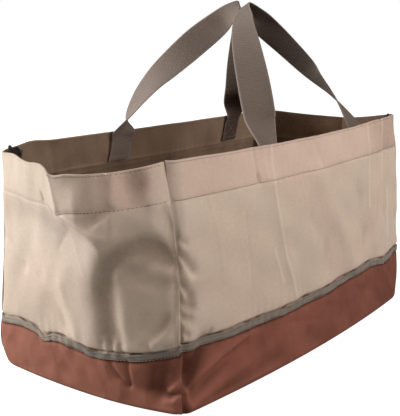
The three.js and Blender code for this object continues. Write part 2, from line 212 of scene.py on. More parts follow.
# finer creases and puckers, the same columns
creaseRows = {
    "left": [
        (1.2, 4, 0.9, (0.575, 276), (0.58, 253), (0.593, 236)),
        (-1.6, 3, 0.2, (0.477, 239), (0.482, 234)), (-2.2, 4, 0.2, (0.54, 227), (0.585, 224)),
        (0.6, 5, 0.3, (0.5, 246), (0.56, 232)),
        (1.4, 5, 0.9, (0.575, 231), (0.663, 220), (0.725, 211), (0.8, 203)),
        (1.2, 9, 0.3, (0.8, 203), (0.765, 188), (0.715, 167), (0.69, 146)),
        (-4, 5, 0.1, (0.75, 221), (0.78, 226), (0.815, 231)),
        (2.6, 6, 0.3, (0.84, 276), (0.823, 230), (0.818, 206)),
        (3.6, 36, 0, (0.765, 290), (0.775, 244)), (-3, 6, 0.1, (0.805, 276), (0.8, 236)),
        (-6.4, 14, 0, (0.9, 282), (0.895, 236)), (-2.2, 8, 0.1, (0.93, 223), (0.985, 208)),
        (-1.6, 16, 0, (0.81, 160), (0.815, 136), (0.82, 100)), (1, 15, 0, (0.74, 106), (0.738, 152)),
        (-0.7, 14, 0, (0.82, 190), (0.9, 193)), (-1.5, 4, 0.2, (0.697, 92), (0.697, 84)),
        (0.8, 5, 0.1, (0.718, 95), (0.718, 86)), (-1.5, 4, 0.2, (0.738, 92), (0.74, 84)),
        (0.8, 5, 0.1, (0.758, 94), (0.758, 85)), (-1.4, 4, 0.2, (0.777, 91), (0.777, 84)),
        (2.6, 6, 0.2, (0.915, 90), (0.95, 98), (0.985, 112)),
        (1.7, 10, 0, (0.8, 160), (0.8, 133), (0.81, 112), (0.815, 92)),
        (-2.8, 12, 0, (0.872, 162), (0.885, 138), (0.875, 112)),
        (-2.2, 6, 0.1, (0.905, 101), (0.95, 113)), (-3, 9, 0, (0.945, 181), (0.99, 169)),
        (1.6, 6, 0.2, (0.92, 166), (0.99, 157)), (-1.4, 8, 0.1, (0.9, 153), (0.985, 146)),
        (-2.2, 4, 0.2, (0.937, 88), (0.975, 88)), (-1.8, 4, 0.2, (0.88, 92), (0.885, 86)),
        (-1.8, 3, 0.5, (0.727, 70), (0.753, 50), (0.788, 36)), (-2.2, 3, 0.5, (0.8, 74), (0.793, 37)),
        (-5, 15, 0, (0.94, 74), (0.915, 36)), (1.4, 12, 0.1, (0.76, 27), (0.85, 21)),
        (-1.6, 4, 0.4, (0.89, 66), (0.872, 34)), (1, 4, 0.4, (0.955, 70), (0.94, 44)),
        (3, 4.5, 0.4, (0.947, 34), (0.995, 41)), (-2.6, 4, 0.2, (0.95, 27), (0.985, 32)),
        (1.8, 5, 0.2, (0.93, 20), (0.985, 23)), (-0.7, 16, 0, (0.2, 240), (0.3, 150)),
        (0.8, 14, 0, (0.12, 120), (0.2, 205)), (0.7, 16, 0, (0.5, 200), (0.56, 130)),
        (-1, 10, 0, (0.3, 74), (0.34, 30)), (1.2, 12, 0, (0.5, 74), (0.56, 30)),
        (0.5, 3, 0.5, (0.2, 215), (0.35, 190)), (-0.5, 3, 0.5, (0.1, 132), (0.25, 110)),
        (0.5, 3, 0.5, (0.3, 224), (0.42, 214)), (-0.5, 2.6, 0.5, (0.44, 124), (0.51, 98)),
        (0.4, 2.6, 0.5, (0.6, 200), (0.66, 160)), (-0.5, 3, 0.5, (0.58, 205), (0.5, 180)),
        (0.4, 2.6, 0.5, (0.83, 150), (0.92, 138)), (-0.4, 2.6, 0.5, (0.86, 122), (0.95, 118)),
    ],
    "front": [
        (1.1, 2.6, 0.9, (0.315, 274), (0.31, 222), (0.323, 176), (0.343, 137), (0.382, 88)),
        (0.6, 3, 0.6, (0.3, 150), (0.33, 112)), (-1.2, 3, 0.4, (0.255, 272), (0.262, 233)),
        (-1.6, 3, 0.2, (0.262, 238), (0.264, 229)), (0.8, 4, 0.3, (0.285, 270), (0.29, 233)),
        (-0.7, 4, 0.4, (0.488, 265), (0.518, 233)), (0.6, 6, 0.3, (0.6, 268), (0.61, 236)),
        (-2.4, 4, 0.2, (0.003, 190), (0.022, 187)),
        (-4.2, 6, 0.1, (0.002, 176), (0.018, 170), (0.035, 157)),
        (-4.2, 6, 0.1, (0.002, 146), (0.02, 136), (0.03, 130)),
        (-4.2, 6, 0.1, (0.002, 126), (0.033, 119)), (-3.6, 5, 0.1, (0.002, 112), (0.027, 108)),
        (-2.2, 4, 0.1, (0.002, 96), (0.02, 92)), (-1.8, 3, 0.2, (0.083, 89), (0.083, 83)),
        (0.6, 6, 0.1, (0.03, 148), (0.06, 144)), (0.6, 6, 0.1, (0.035, 110), (0.06, 106)),
        (1.6, 4, 0.6, (0.775, 268), (0.763, 160)), (1.6, 4, 0.6, (0.868, 270), (0.85, 190)),
        (1.4, 4, 0.6, (0.903, 175), (0.88, 95)), (1.4, 4, 0.5, (0.92, 266), (0.905, 180)),
        (-0.9, 6, 0.2, (0.82, 262), (0.8, 130)), (-0.9, 6, 0.2, (0.89, 262), (0.875, 120)),
        (-0.9, 6, 0.2, (0.96, 262), (0.945, 130)), (-5.5, 9, 0.2, (0.012, 78), (0.02, 34)),
        (-5.5, 12, 0.1, (0.065, 78), (0.03, 48)),
        (3.4, 4, 0.8, (0.006, 28), (0.05, 44), (0.107, 57), (0.192, 69)),
        (-2.4, 7, 0.2, (0.025, 20), (0.12, 42)), (1.6, 7, 0.3, (0.02, 12), (0.15, 29), (0.272, 38)),
        (-1.4, 7, 0.2, (0.05, 9), (0.3, 22)), (-1.2, 7, 0.1, (0.1, 72), (0.11, 58)),
        (1, 12, 0, (0.6, 70), (0.52, 30)), (1.8, 9, 0.2, (0.84, 70), (0.9, 25)),
        (-1.8, 9, 0.2, (0.93, 70), (0.88, 30)), (0.9, 8, 0.2, (0.33, 74), (0.3, 40)),
        (0.5, 3, 0.5, (0.1, 225), (0.12, 150)), (-0.4, 3, 0.5, (0.2, 205), (0.215, 120)),
        (0.5, 3, 0.5, (0.42, 225), (0.45, 160)), (-0.4, 3, 0.5, (0.55, 185), (0.6, 110)),
        (0.5, 3, 0.5, (0.68, 226), (0.7, 150)), (0.5, 6, 0.3, (0.2, 66), (0.36, 50)),
        (-0.6, 4, 0.4, (0.36, 60), (0.48, 44)), (0.6, 4, 0.4, (0.5, 66), (0.62, 50)),
        (-0.6, 4, 0.4, (0.66, 60), (0.78, 36)),
    ],
    "back": [
        (0.8, 5, 0.5, (0.2, 268), (0.22, 231)), (1.2, 6, 0.6, (0.45, 214), (0.42, 96)),
        (1.4, 8, 0.4, (0.86, 262), (0.83, 110)), (-1.4, 9, 0.3, (0.12, 250), (0.17, 120)),
        (1.2, 10, 0.2, (0.4, 66), (0.47, 28)), (-1.3, 9, 0.2, (0.9, 66), (0.82, 30)),
        (-2.6, 7, 0.1, (0.004, 160), (0.04, 154)), (-2.6, 7, 0.1, (0.996, 150), (0.96, 142)),
        (-2.4, 6, 0.1, (0.004, 110), (0.03, 104)), (-2.4, 6, 0.1, (0.996, 118), (0.965, 108)),
    ],
    "right": [
        (1.4, 6, 0.7, (0.5, 271), (0.5, 235)), (1.6, 8, 0.5, (0.5, 235), (0.42, 190)),
        (1.4, 10, 0.2, (0.2, 150), (0.26, 90)), (-1.5, 10, 0.2, (0.8, 240), (0.76, 150)),
        (1.4, 8, 0.3, (0.3, 66), (0.36, 30)), (-1.5, 8, 0.3, (0.74, 68), (0.7, 26)),
    ],
}

slack = {
    # low waves all over: length, direction in degrees, height, phase
    "ripples": ((92, 24, 0.55, 0.4), (61, 118, 0.45, 2.1), (43, 63, 0.3, 4.4), (29, 151, 0.18, 1.3)),
    "rippleBend": 0.8,  # how far a wave strays from a straight one, and how often
    "rippleBendRate": 0.37,
    "rippleBendPhase": 2.2,
    # puckers drawn up by a row of stitches: height of the row, wave length, rise, reach
    "puckers": (
        (shell["tapeLine"], 15.0, 0.55, 11.0), (shell["hemLine"], 12.0, 0.22, 8.0),
        (shell["rimLine"] - 4, 13.0, 0.12, 6.0),
    ),
    # their waviness and strength along the row: height, length over two pi, phase as a share of the height
    "puckerStray": ((1.6, 31.0, 1), (1.1, 17.0, 2)),
    "puckerShare": 0.55,
    "puckerSwell": ((0.45, 47.0, 0.7),),
}


def sectionAt(t):
    # values of every column at cloth height t; the heel turns in a quarter circle to the floor
    values = cubicThrough(sectionLevels, sectionRows, t)
    section = {name: values[..., c] for c, name in enumerate(sectionColumns)}
    angle = np.clip(t / shell["heelRadius"], 0, np.pi / 2)
    inset = shell["heelRadius"] * (1 - np.sin(angle))
    section["z"] = np.where(t < heelCloth, shell["heelRadius"] * (1 - np.cos(angle)), section["z"])
    section["z"] = section["z"] + np.maximum(t - shell["rimLine"], 0)
    for name in cornerColumns[1:]:
        section[name] = section[name] - inset
    return section


def belowHem(t, start, stop):
    # 1 well below the hem stitching, falling to 0 between two depths under it
    return 1 - smoothStep(t, shell["hemLine"] - start, shell["hemLine"] - stop)


def runAway(places, wide, s, t):
    # distance over the cloth from a run of straight stretches, in mm
    nearest = np.full(s.shape, np.inf)
    for (s0, t0), (s1, t1) in zip(places[:-1], places[1:]):
        runX = (s1 - s0) * wide
        runT = t1 - t0
        atX = (s - s0) * wide
        atT = t - t0
        along = np.clip((atX * runX + atT * runT) / (runX**2 + runT**2), 0, 1)
        nearest = np.minimum(nearest, np.hypot(atX - along * runX, atT - along * runT))
    return nearest


def foldSum(rows, wide, s, t):
    # each fold rises round its run: a bell of the distance, drawn to a crest where sharp
    total = np.zeros(s.shape)
    blunt = shell["crestRound"]
    for rise, half, sharp, *places in rows:
        away = runAway(places, wide, s, t) / half
        crest = np.exp(blunt - np.hypot(away * shell["crestSteep"], blunt))
        total += rise * (bell(away, 1) * (1 - sharp) + crest * sharp)
    return total


def slackCloth(wide, s, t):
    # low waves all over, and short puckers next to the stitch rows, stronger and weaker along them
    x = s * wide
    total = np.zeros_like(x)
    for length, turn, rise, phase in slack["ripples"]:
        way = np.radians(turn)
        run = (x * np.cos(way) + t * np.sin(way)) / length
        bend = np.sin(slack["rippleBendRate"] * run + slack["rippleBendPhase"] * phase)
        total += rise * np.sin(2 * np.pi * run + phase + slack["rippleBend"] * bend)
    for row, length, rise, reach in slack["puckers"]:
        stray = waveSum(x, [(a, b, share * row) for a, b, share in slack["puckerStray"]])
        swell = waveSum(x, [(a, b, share * row) for a, b, share in slack["puckerSwell"]])
        pucker = np.sin(2 * np.pi * x / length + stray)
        strength = rise * (slack["puckerShare"] + swell)
        total += strength * pucker * np.exp(-np.abs(t - row) / reach)
    return total


def clothRelief(side, s, t):
    # folds fade out at the seams, the floor and the rim; creases and slack only close to the seams
    wide = shell["width"][side]
    fromSeam = np.minimum(s, 1 - s) * wide
    folds = foldSum(foldRows[side], wide, s, t) * smoothStep(fromSeam, *shell["foldSeam"])
    folds = folds * smoothStep(t, *shell["foldFloor"])
    folds = folds * smoothStep(shell["rimLine"] - t, *shell["foldRim"])
    fine = foldSum(creaseRows[side], wide, s, t) + slackCloth(wide, s, t)
    fine = fine * smoothStep(fromSeam, *shell["fineSeam"]) * smoothStep(t, *shell["fineFloor"])
    return folds + fine


def sewnRelief(side, s, t):
    # bells under the stitch rows and the tape; at a corner seam an end stands proud and a long side dips
    wide = shell["width"][side]
    fromSeam = np.minimum(s, 1 - s) * wide
    groove = shell["tapeGrooveShare"] + waveSum(s * wide, shell["tapeGrooveWaves"])
    off = -shell["hemDip"] * bell(t - shell["hemLine"], shell["hemDipWide"])
    off = off - shell["tapeDip"] * bell(t - shell["tapeLine"], shell["tapeDipWide"])
    off = off - shell["tapeGroove"] * groove * bell(t - shell["tapeGrooveAt"], shell["tapeGrooveWide"])
    if side in endSides:
        rise = shell["edgeRise"] * belowHem(t, *shell["edgeEnd"])
        return off + rise * bell(fromSeam, shell["edgeWide"])
    left = shell["edgeDipHem"]
    dip = shell["edgeDip"] * (left + (1 - left) * belowHem(t, *shell["edgeDipEnd"]))
    return off - dip * bell(fromSeam, shell["edgeDipWide"])


def bowShape(side, s, t, section):
    # share of the bow along a side: a parabola, drawn to a rounded crease at its apex
    apex = section["apexLeft"] if side == "left" else 0.5
    crease = section["crease"] * shell["creaseShare"][side]
    if side == "left":
        crease = np.where(s < apex, crease, section["creaseNear"])
    soft = smoothRun(t, shell["creaseSoft"])
    toApex = np.where(s < apex, s / apex, (1 - s) / (1 - apex))
    creased = 1 - (np.hypot(1 - toApex, soft) - soft) / (np.hypot(1, soft) - soft)
    return (1 - (1 - toApex) ** 2) * (1 - crease) + creased * crease


def cornerAt(section, corner):
    # a corner seam's place in plan
    signX, signY = cornerSigns[corner]
    return np.stack([signX * section[corner + "X"], signY * section[corner + "Y"]], -1)


def shellPoint(side, s, t):
    # outer face: a chord between two corner seams, bowed outward, with relief, rounded corners and sags
    s, t = np.broadcast_arrays(np.asarray(s, float), np.asarray(t, float))
    section = sectionAt(t)
    first, last = sideCorners[side]
    start = cornerAt(section, first)
    chord = cornerAt(section, last) - start
    length = np.linalg.norm(chord, axis=-1)
    along = chord / length[..., None]
    outward = np.stack([along[..., 1], -along[..., 0]], -1)
    shape = bowShape(side, s, t, section)
    off = section["bow" + side.title()] * shape + clothRelief(side, s, t) + sewnRelief(side, s, t)
    place = s * length
    near = np.minimum(place, length - place)
    turn = np.where(s < 0.5, section["turn" + first.title()], section["turn" + last.title()])
    angle = np.clip(1 - near / turn, 0, 1) * np.pi / 4
    shift = np.where(near < turn, turn - turn * np.sin(angle) - near, 0)
    place = place + np.where(s < 0.5, shift, -shift)
    off = off - turn * (1 - np.cos(angle))
    z = section["z"] - section.get("sag" + side.title(), 0) * shape
    fromFloor = smoothStep(t, *shell["sagFloor"])
    for atS, atT, spanS, spanT, rise in sagRows[side]:
        z = z + rise * bell(s - atS, spanS) * bell(t - atT, spanT) * fromFloor
    flat = start + along * place[..., None] + outward * off[..., None]
    return np.concatenate([flat, z[..., None]], -1)


def shellNormal(side, s, t):
    # across the two directions of the cloth, by small steps either way
    dt = 0.4
    ds = dt / shell["width"][side]
    alongS = shellPoint(side, np.clip(s + ds, 0, 1), t) - shellPoint(side, np.clip(s - ds, 0, 1), t)
    alongT = shellPoint(side, s, t + dt) - shellPoint(side, s, np.maximum(t - dt, 0))
    return unit(np.cross(alongS, alongT))


def offPoint(side, s, t, off):
    # the same point moved off the outer face, outward (+) or inward (-)
    s, t, off = np.broadcast_arrays(np.asarray(s, float), np.asarray(t, float), np.asarray(off, float))
    return shellPoint(side, s, t) + shellNormal(side, s, t) * off[..., None]


def steppedPlaces(total, fine, coarse, marks, reach):
    # places from 0 to total: fine steps within reach of a mark, coarse steps elsewhere
    grain = 0.1
    dense = np.linspace(0, total, int(total / grain) + 1)
    away = np.min(np.abs(dense[:, None] - np.asarray(marks, float)[None, :]), axis=1)
    step = fine + (coarse - fine) * smoothStep(away, reach * 0.5, reach * 2)
    count = np.concatenate([[0], np.cumsum(grain / step[:-1])])
    return np.interp(np.linspace(0, count[-1], int(round(count[-1])) + 1), count, dense)


# the frame's origin stands at the middle of its box, so the cloth is moved onto the floor panel
edgePlaces = np.linspace(0.001, 0.999, 200)
floorEdge = np.concatenate([shellPoint(side, edgePlaces, 0.0) for side in sideCorners])
baseLow, baseHigh = (np.array(corner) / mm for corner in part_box("base_panel"))
frameShift = (baseLow + baseHigh) / 2 - (floorEdge.min(0) + floorEdge.max(0)) / 2
frameShift[2] = baseLow[2]
print("cloth moved by", np.round(frameShift, 2).tolist(), "mm")


# meshes from grids

sharpAngle = 60  # degrees; edges sharper than this stay crisp


def addPiece(name, points, faces, uv, material, masks, node=None):
    # one mesh object in the frame: points in mm, quads, cloth coordinates in metres, masks by name
    mesh = bpy.data.meshes.new(name)
    mesh.from_pydata(((points + frameShift) * mm).tolist(), [], faces.tolist())
    mesh.polygons.foreach_set("use_smooth", np.ones(len(mesh.polygons), bool))
    loops = np.empty(len(mesh.loops), np.int32)
    mesh.loops.foreach_get("vertex_index", loops)
    layer = mesh.uv_layers.new(name="cloth")
    layer.uv.foreach_set("vector", uv[loops].astype(np.float32).ravel())
    for label, values in masks.items():
        mask = mesh.attributes.new(label, "FLOAT", "POINT")
        mask.data.foreach_set("value", values.astype(np.float32).ravel())
    mesh.set_sharp_from_angle(angle=np.radians(sharpAngle))
    mesh.materials.append(material)
    mesh.update()
    piece = bpy.data.objects.new(name, mesh)
    bpy.context.scene.collection.objects.link(piece)
    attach(piece, "root")
    if node:
        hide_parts(node)
    return piece


def gridQuads(rows, wide, start=0):
    # quads of a grid of rows by wide points, counted from start
    i, j = np.meshgrid(np.arange(rows - 1), np.arange(wide - 1), indexing="ij")
    a = start + i * wide + j
    return np.stack([a, a + 1, a + wide + 1, a + wide], -1).reshape(-1, 4)


def facingOut(points, faces):
    # turns the quads round if the closed form they bound has a negative volume
    a, b, c, d = (points[faces[:, k]] for k in range(4))
    volume = np.sum(a * np.cross(b, c)) + np.sum(a * np.cross(c, d))
    return faces if volume > 0 else faces[:, ::-1]


def closedSheet(outer, inner):
    # two matching grids joined along their four edges
    rows, wide = outer.shape[:2]
    layer = rows * wide
    near = gridQuads(rows, wide)
    far = gridQuads(rows, wide, layer)[:, ::-1]
    ring = np.concatenate([
        np.arange(wide), np.arange(1, rows) * wide + wide - 1,
        layer - 2 - np.arange(wide - 1), np.arange(rows - 2, 0, -1) * wide,
    ])
    after = np.roll(ring, -1)
    edge = np.stack([after, ring, ring + layer, after + layer], -1)
    points = np.concatenate([outer.reshape(-1, 3), inner.reshape(-1, 3)])
    return points, facingOut(points, np.concatenate([near, far, edge]))


def closedTube(rings):
    # rings of points along a path, closed round, each end capped by quads straight across
    rows, around = rings.shape[:2]
    i, j = np.meshgrid(np.arange(rows - 1), np.arange(around), indexing="ij")
    low = i * around
    after = (j + 1) % around
    walls = np.stack([low + j, low + after, low + around + after, low + around + j], -1).reshape(-1, 4)
    k = np.arange(around // 2 - 1)
    first = np.stack([k + 1, k, around - 1 - k, around - 2 - k], -1)
    last = (rows - 1) * around + first[:, ::-1]
    points = rings.reshape(-1, 3)
    return points, facingOut(points, np.concatenate([walls, first, last]))


def clothGrid(across, along):
    # cloth coordinates in metres for the points of a grid, across changing fastest
    return np.stack(np.broadcast_arrays(across[None, :] * mm, along[:, None] * mm), -1).reshape(-1, 2)


# shader node groups

def setInputs(tree, made, inputs):
    # inputs are values or sockets, by socket name with _ for a space, or by number as i0, i1
    for name, value in inputs.items():
        numbered = name[0] == "i" and name[1:].isdigit()
        socket = made.inputs[int(name[1:]) if numbered else name.replace("_", " ")]
        if isinstance(value, bpy.types.NodeSocket):
            tree.links.new(value, socket)
        else:
            socket.default_value = value


def nodeIn(tree, kind, settings=None, **inputs):
    # a new node with its settings and inputs
    made = tree.nodes.new(kind)
    for name, value in (settings or {}).items():
        setattr(made, name, value)
    setInputs(tree, made, inputs)
    return made


def groupIn(tree, group, **inputs):
    # the outputs of a group placed in a tree
    return nodeIn(tree, "ShaderNodeGroup", {"node_tree": group}, **inputs).outputs


def mathIn(tree, operation, first, second=0.0, third=0.0):
    # the result of one Math node
    made = nodeIn(tree, "ShaderNodeMath", {"operation": operation}, i0=first, i1=second, i2=third)
    return made.outputs[0]


def mixIn(tree, share, first, second, blend="MIX"):
    # two colours blended by a share
    settings = {"data_type": "RGBA", "blend_type": blend}
    return nodeIn(tree, "ShaderNodeMix", settings, i0=share, i6=first, i7=second).outputs[2]


def rangeIn(tree, value, low, high):
    # a value stretched so that low is 0 and high is 1
    return nodeIn(tree, "ShaderNodeMapRange", Value=value, i1=low, i2=high).outputs[0]


def newGroup(name, inputs, outputs):
    # a node group; sockets by name, f for a value, v for a vector, c for a colour
    group = bpy.data.node_groups.new(name, "ShaderNodeTree")
    kinds = {"f": "NodeSocketFloat", "v": "NodeSocketVector", "c": "NodeSocketColor"}
    for label, kind in inputs.items():
        group.interface.new_socket(label, in_out="INPUT", socket_type=kinds[kind])
    for label, kind in outputs.items():
        group.interface.new_socket(label, in_out="OUTPUT", socket_type=kinds[kind])
    source = group.nodes.new("NodeGroupInput")
    sink = group.nodes.new("NodeGroupOutput")
    return group, source.outputs, sink.inputs


flatNoise = {"noise_dimensions": "2D"}
weaving = {
    "slubStretch": (220.0, 1600.0, 1.0),  # slubs are long one way
    "ribStagger": np.pi / 10,
    "warpHeight": 0.15,
    "crumpleTurns": (0.6, 2.1),
    "crumpleStretch": (1.0, 0.7, 1.0),
    "crumpleSteep": -4.0,
}
dyeAndShade = {
    "driftRange": (0.38, 0.66),  # of the noise between the two tones
    "driftRough": 0.55,
    "grainSize": 330.0,
    "grainRange": (0.3, 0.7),
    # the colour that the gaps between threads, the mottle and the painted shade darken the cloth towards
    "gapAndShadeColour": (0.16, 0.1, 0.05, 1.0),
}


def makePlainWeave():
    # over and under threads: sine across times sine along, with slubs of noise
    group, given, out = newGroup(
        "plainWeave", {"Place": "v", "Pitch": "f", "Slub": "f"}, {"Height": "f", "Thread": "f"},
    )
    apart = nodeIn(group, "ShaderNodeSeparateXYZ", Vector=given["Place"]).outputs
    turn = mathIn(group, "DIVIDE", np.pi, given["Pitch"])
    across = mathIn(group, "SINE", mathIn(group, "MULTIPLY", apart["X"], turn))
    upward = mathIn(group, "SINE", mathIn(group, "MULTIPLY", apart["Y"], turn))
    weave = mathIn(group, "MULTIPLY_ADD", mathIn(group, "MULTIPLY", across, upward), 0.5, 0.5)
    stretch = weaving["slubStretch"]
    laid = nodeIn(group, "ShaderNodeMapping", Vector=given["Place"], Scale=stretch).outputs[0]
    slubs = nodeIn(group, "ShaderNodeTexNoise", flatNoise, Vector=laid, Scale=1.0, Detail=2.0).outputs[0]
    group.links.new(mathIn(group, "MULTIPLY_ADD", slubs, given["Slub"], weave), out["Height"])
    group.links.new(weave, out["Thread"])
    return group


def makeRibWeave():
    # webbing: ribs across the strap, broken by columns of warp threads
    group, given, out = newGroup(
        "ribWeave", {"Place": "v", "Rib": "f", "Warp": "f"}, {"Height": "f", "Thread": "f"},
    )
    apart = nodeIn(group, "ShaderNodeSeparateXYZ", Vector=given["Place"]).outputs
    columns = mathIn(group, "MULTIPLY", apart["X"], mathIn(group, "DIVIDE", np.pi, given["Warp"]))
    stagger = mathIn(group, "MULTIPLY", mathIn(group, "SINE", columns), weaving["ribStagger"])
    ribs = mathIn(group, "MULTIPLY", apart["Y"], mathIn(group, "DIVIDE", 2 * np.pi, given["Rib"]))
    rib = mathIn(group, "SINE", mathIn(group, "ADD", ribs, stagger))
    column = mathIn(group, "ABSOLUTE", mathIn(group, "SINE", columns))
    warp = mathIn(group, "MULTIPLY", column, weaving["warpHeight"])
    height = mathIn(group, "MULTIPLY_ADD", rib, 0.5, warp)
    group.links.new(height, out["Height"])
    group.links.new(mathIn(group, "MULTIPLY_ADD", rib, 0.5, 0.5), out["Thread"])
    return group


def makeFineCrumple():
    # small wrinkles: a crest wherever a noise passes its middle value, laid in two directions
    group, given, out = newGroup("fineCrumple", {"Place": "v", "Size": "f"}, {"Height": "f"})
    crests = []
    for turn in weaving["crumpleTurns"]:
        laid = nodeIn(
            group, "ShaderNodeMapping", Vector=given["Place"], Rotation=(0, 0, turn),
            Scale=weaving["crumpleStretch"],
        ).outputs[0]
        noise = nodeIn(
            group, "ShaderNodeTexNoise", flatNoise, Vector=laid, Scale=given["Size"], Detail=1.0,
        ).outputs[0]
        away = mathIn(group, "ABSOLUTE", mathIn(group, "SUBTRACT", noise, 0.5))
        crests.append(mathIn(group, "MULTIPLY_ADD", away, weaving["crumpleSteep"], 1.0))
    group.links.new(mathIn(group, "ADD", *crests), out["Height"])
    return group


def makeClothTone():
    # cloth colour with a slow drift to a second tone and a mottle, tinted (a warmer hem and painted light),
    # darker between threads and with painted shade, paler where rubbed and with painted highlights
    group, given, out = newGroup(
        "clothTone",
        {"Place": "v", "Colour": "c", "Drift Colour": "c", "Drift Size": "f", "Thread": "f",
         "Thread Depth": "f", "Rub": "f", "Rub Colour": "c", "Tint": "f", "Tint Colour": "c", "Shade": "f",
         "Mottle": "f", "Inner": "f", "Inner Colour": "c"},
        {"Colour": "c", "Drift": "f"},
    )
    drift = nodeIn(
        group, "ShaderNodeTexNoise",
        Vector=given["Place"], Scale=given["Drift Size"], Detail=3.0, Roughness=dyeAndShade["driftRough"],
    ).outputs[0]
    share = rangeIn(group, drift, *dyeAndShade["driftRange"])
    base = mixIn(group, share, given["Colour"], given["Drift Colour"])
    tinted = mixIn(group, given["Tint"], base, given["Tint Colour"])
    tinted = mixIn(group, given["Inner"], tinted, given["Inner Colour"])
    between = mathIn(group, "SUBTRACT", 1.0, given["Thread"])
    lower = mathIn(group, "MULTIPLY", between, given["Thread Depth"])
    grain = nodeIn(
        group, "ShaderNodeTexNoise", Vector=given["Place"], Scale=dyeAndShade["grainSize"], Detail=2.0,
    ).outputs[0]
    patch = mathIn(group, "MULTIPLY", rangeIn(group, grain, *dyeAndShade["grainRange"]), given["Mottle"])
    # gaps between threads, mottle and painted shade darken the cloth together
    dark = mathIn(group, "ADD", mathIn(group, "ADD", lower, patch), given["Shade"])
    woven = mixIn(group, dark, tinted, dyeAndShade["gapAndShadeColour"], "MULTIPLY")
    group.links.new(mixIn(group, given["Rub"], woven, given["Rub Colour"]), out["Colour"])
    group.links.new(share, out["Drift"])
    return group


plainWeave = makePlainWeave()
ribWeave = makeRibWeave()
fineCrumple = makeFineCrumple()
clothTone = makeClothTone()


# cloth materials: screen colours from 0 to 255, lengths in metres

commonLook = {"mottle": 0.09, "roughDrift": 0.1, "bumpDeep": 0.0003, "sheenRough": 0.5}
canvasLook = {"weave": "plain", "pitch": 0.0011, "slub": 0.5, "bump": 0.35}
threadLook = {
    "driftSize": 60.0, "weave": "plain", "pitch": 0.0004, "slub": 0.4, "threadDepth": 0.2, "rubAndHighlightShare": 0.0,
    "rough": 0.65, "bump": 0.3, "bumpDeep": 0.0001, "shine": 0.4, "sheen": 0.2,
}
looks = {
    "upper": {
        **canvasLook, "colour": (208, 189, 170), "drift": (211, 188, 169), "driftSize": 9.0,
        # tint colour: the hem's warmer cloth, partly painted light; inner colour: the coated face, partly
        # painted shade; rub colour: wear and painted highlights
        "tintColour": (217, 190, 172), "innerColour": (172, 146, 122), "rubColour": (228, 211, 193),
        "rubAndHighlightShare": 0.55, "threadDepth": 0.10, "rough": 0.72, "shine": 0.3, "sheen": 0.05,
        "crumple": 0.22, "crumpleSize": 19.0, "crumpleDeep": 0.0014,
    },
    "lower": {
        **canvasLook, "colour": (140, 85, 68), "drift": (124, 74, 59), "driftSize": 13.0,
        # tint colour: a paler copy of the brown, painted light on the end bands; rub colour: wear and
        # painted highlights
        "tintColour": (153, 98, 80), "rubColour": (168, 116, 98),
        "rubAndHighlightShare": 0.3, "threadDepth": 0.14, "rough": 0.68, "roughDrift": 0.12, "shine": 0.15,
        "sheen": 0.0,
        "crumple": 0.4, "crumpleSize": 24.0, "crumpleDeep": 0.0018,
    },
    "tape": {
        # tint colour: a paler copy of the tape, painted light on the left end's lit facet
        "colour": (119, 108, 96), "drift": (110, 99, 88), "driftSize": 30.0, "tintColour": (140, 124, 108),
        "rubColour": (168, 160, 148), "rubAndHighlightShare": 0.3, "weave": "rib", "pitch": 0.0013, "warp": 0.0014,
        "threadDepth": 0.22, "rough": 0.7, "bump": 0.5, "shine": 0.35, "sheen": 0.1,
    },
    "web": {
        "colour": (136, 122, 112), "drift": (128, 114, 105), "driftSize": 14.0,
        "rubColour": (172, 158, 147), "rubAndHighlightShare": 0.35, "weave": "rib", "pitch": 0.0026, "warp": 0.0013,
        "threadDepth": 0.25, "rough": 0.74, "bump": 0.32, "bumpDeep": 0.0004, "shine": 0.2, "sheen": 0.05,
    },
    "binding": {
        "colour": (47, 40, 38), "drift": (38, 32, 31), "driftSize": 40.0,
        "rubColour": (122, 108, 100), "rubAndHighlightShare": 0.55, "weave": "rib", "pitch": 0.0012, "warp": 0.0011,
        "threadDepth": 0.3, "rough": 0.75, "bump": 0.5, "shine": 0.3, "sheen": 0.25,
    },
    "threadBrown": {
        **threadLook, "colour": (108, 86, 72), "drift": (96, 76, 64), "rubColour": (120, 98, 82),
    },
    "threadGrey": {
        **threadLook, "colour": (172, 160, 145), "drift": (150, 138, 126), "rubColour": (150, 138, 126),
    },
}


def linear(red, green, blue):
    # screen colour from 0 to 255 as linear light
    values = np.array([red, green, blue]) / 255
    light = np.where(values <= 0.04045, values / 12.92, ((values + 0.055) / 1.055) ** 2.4)
    return (*light.tolist(), 1.0)


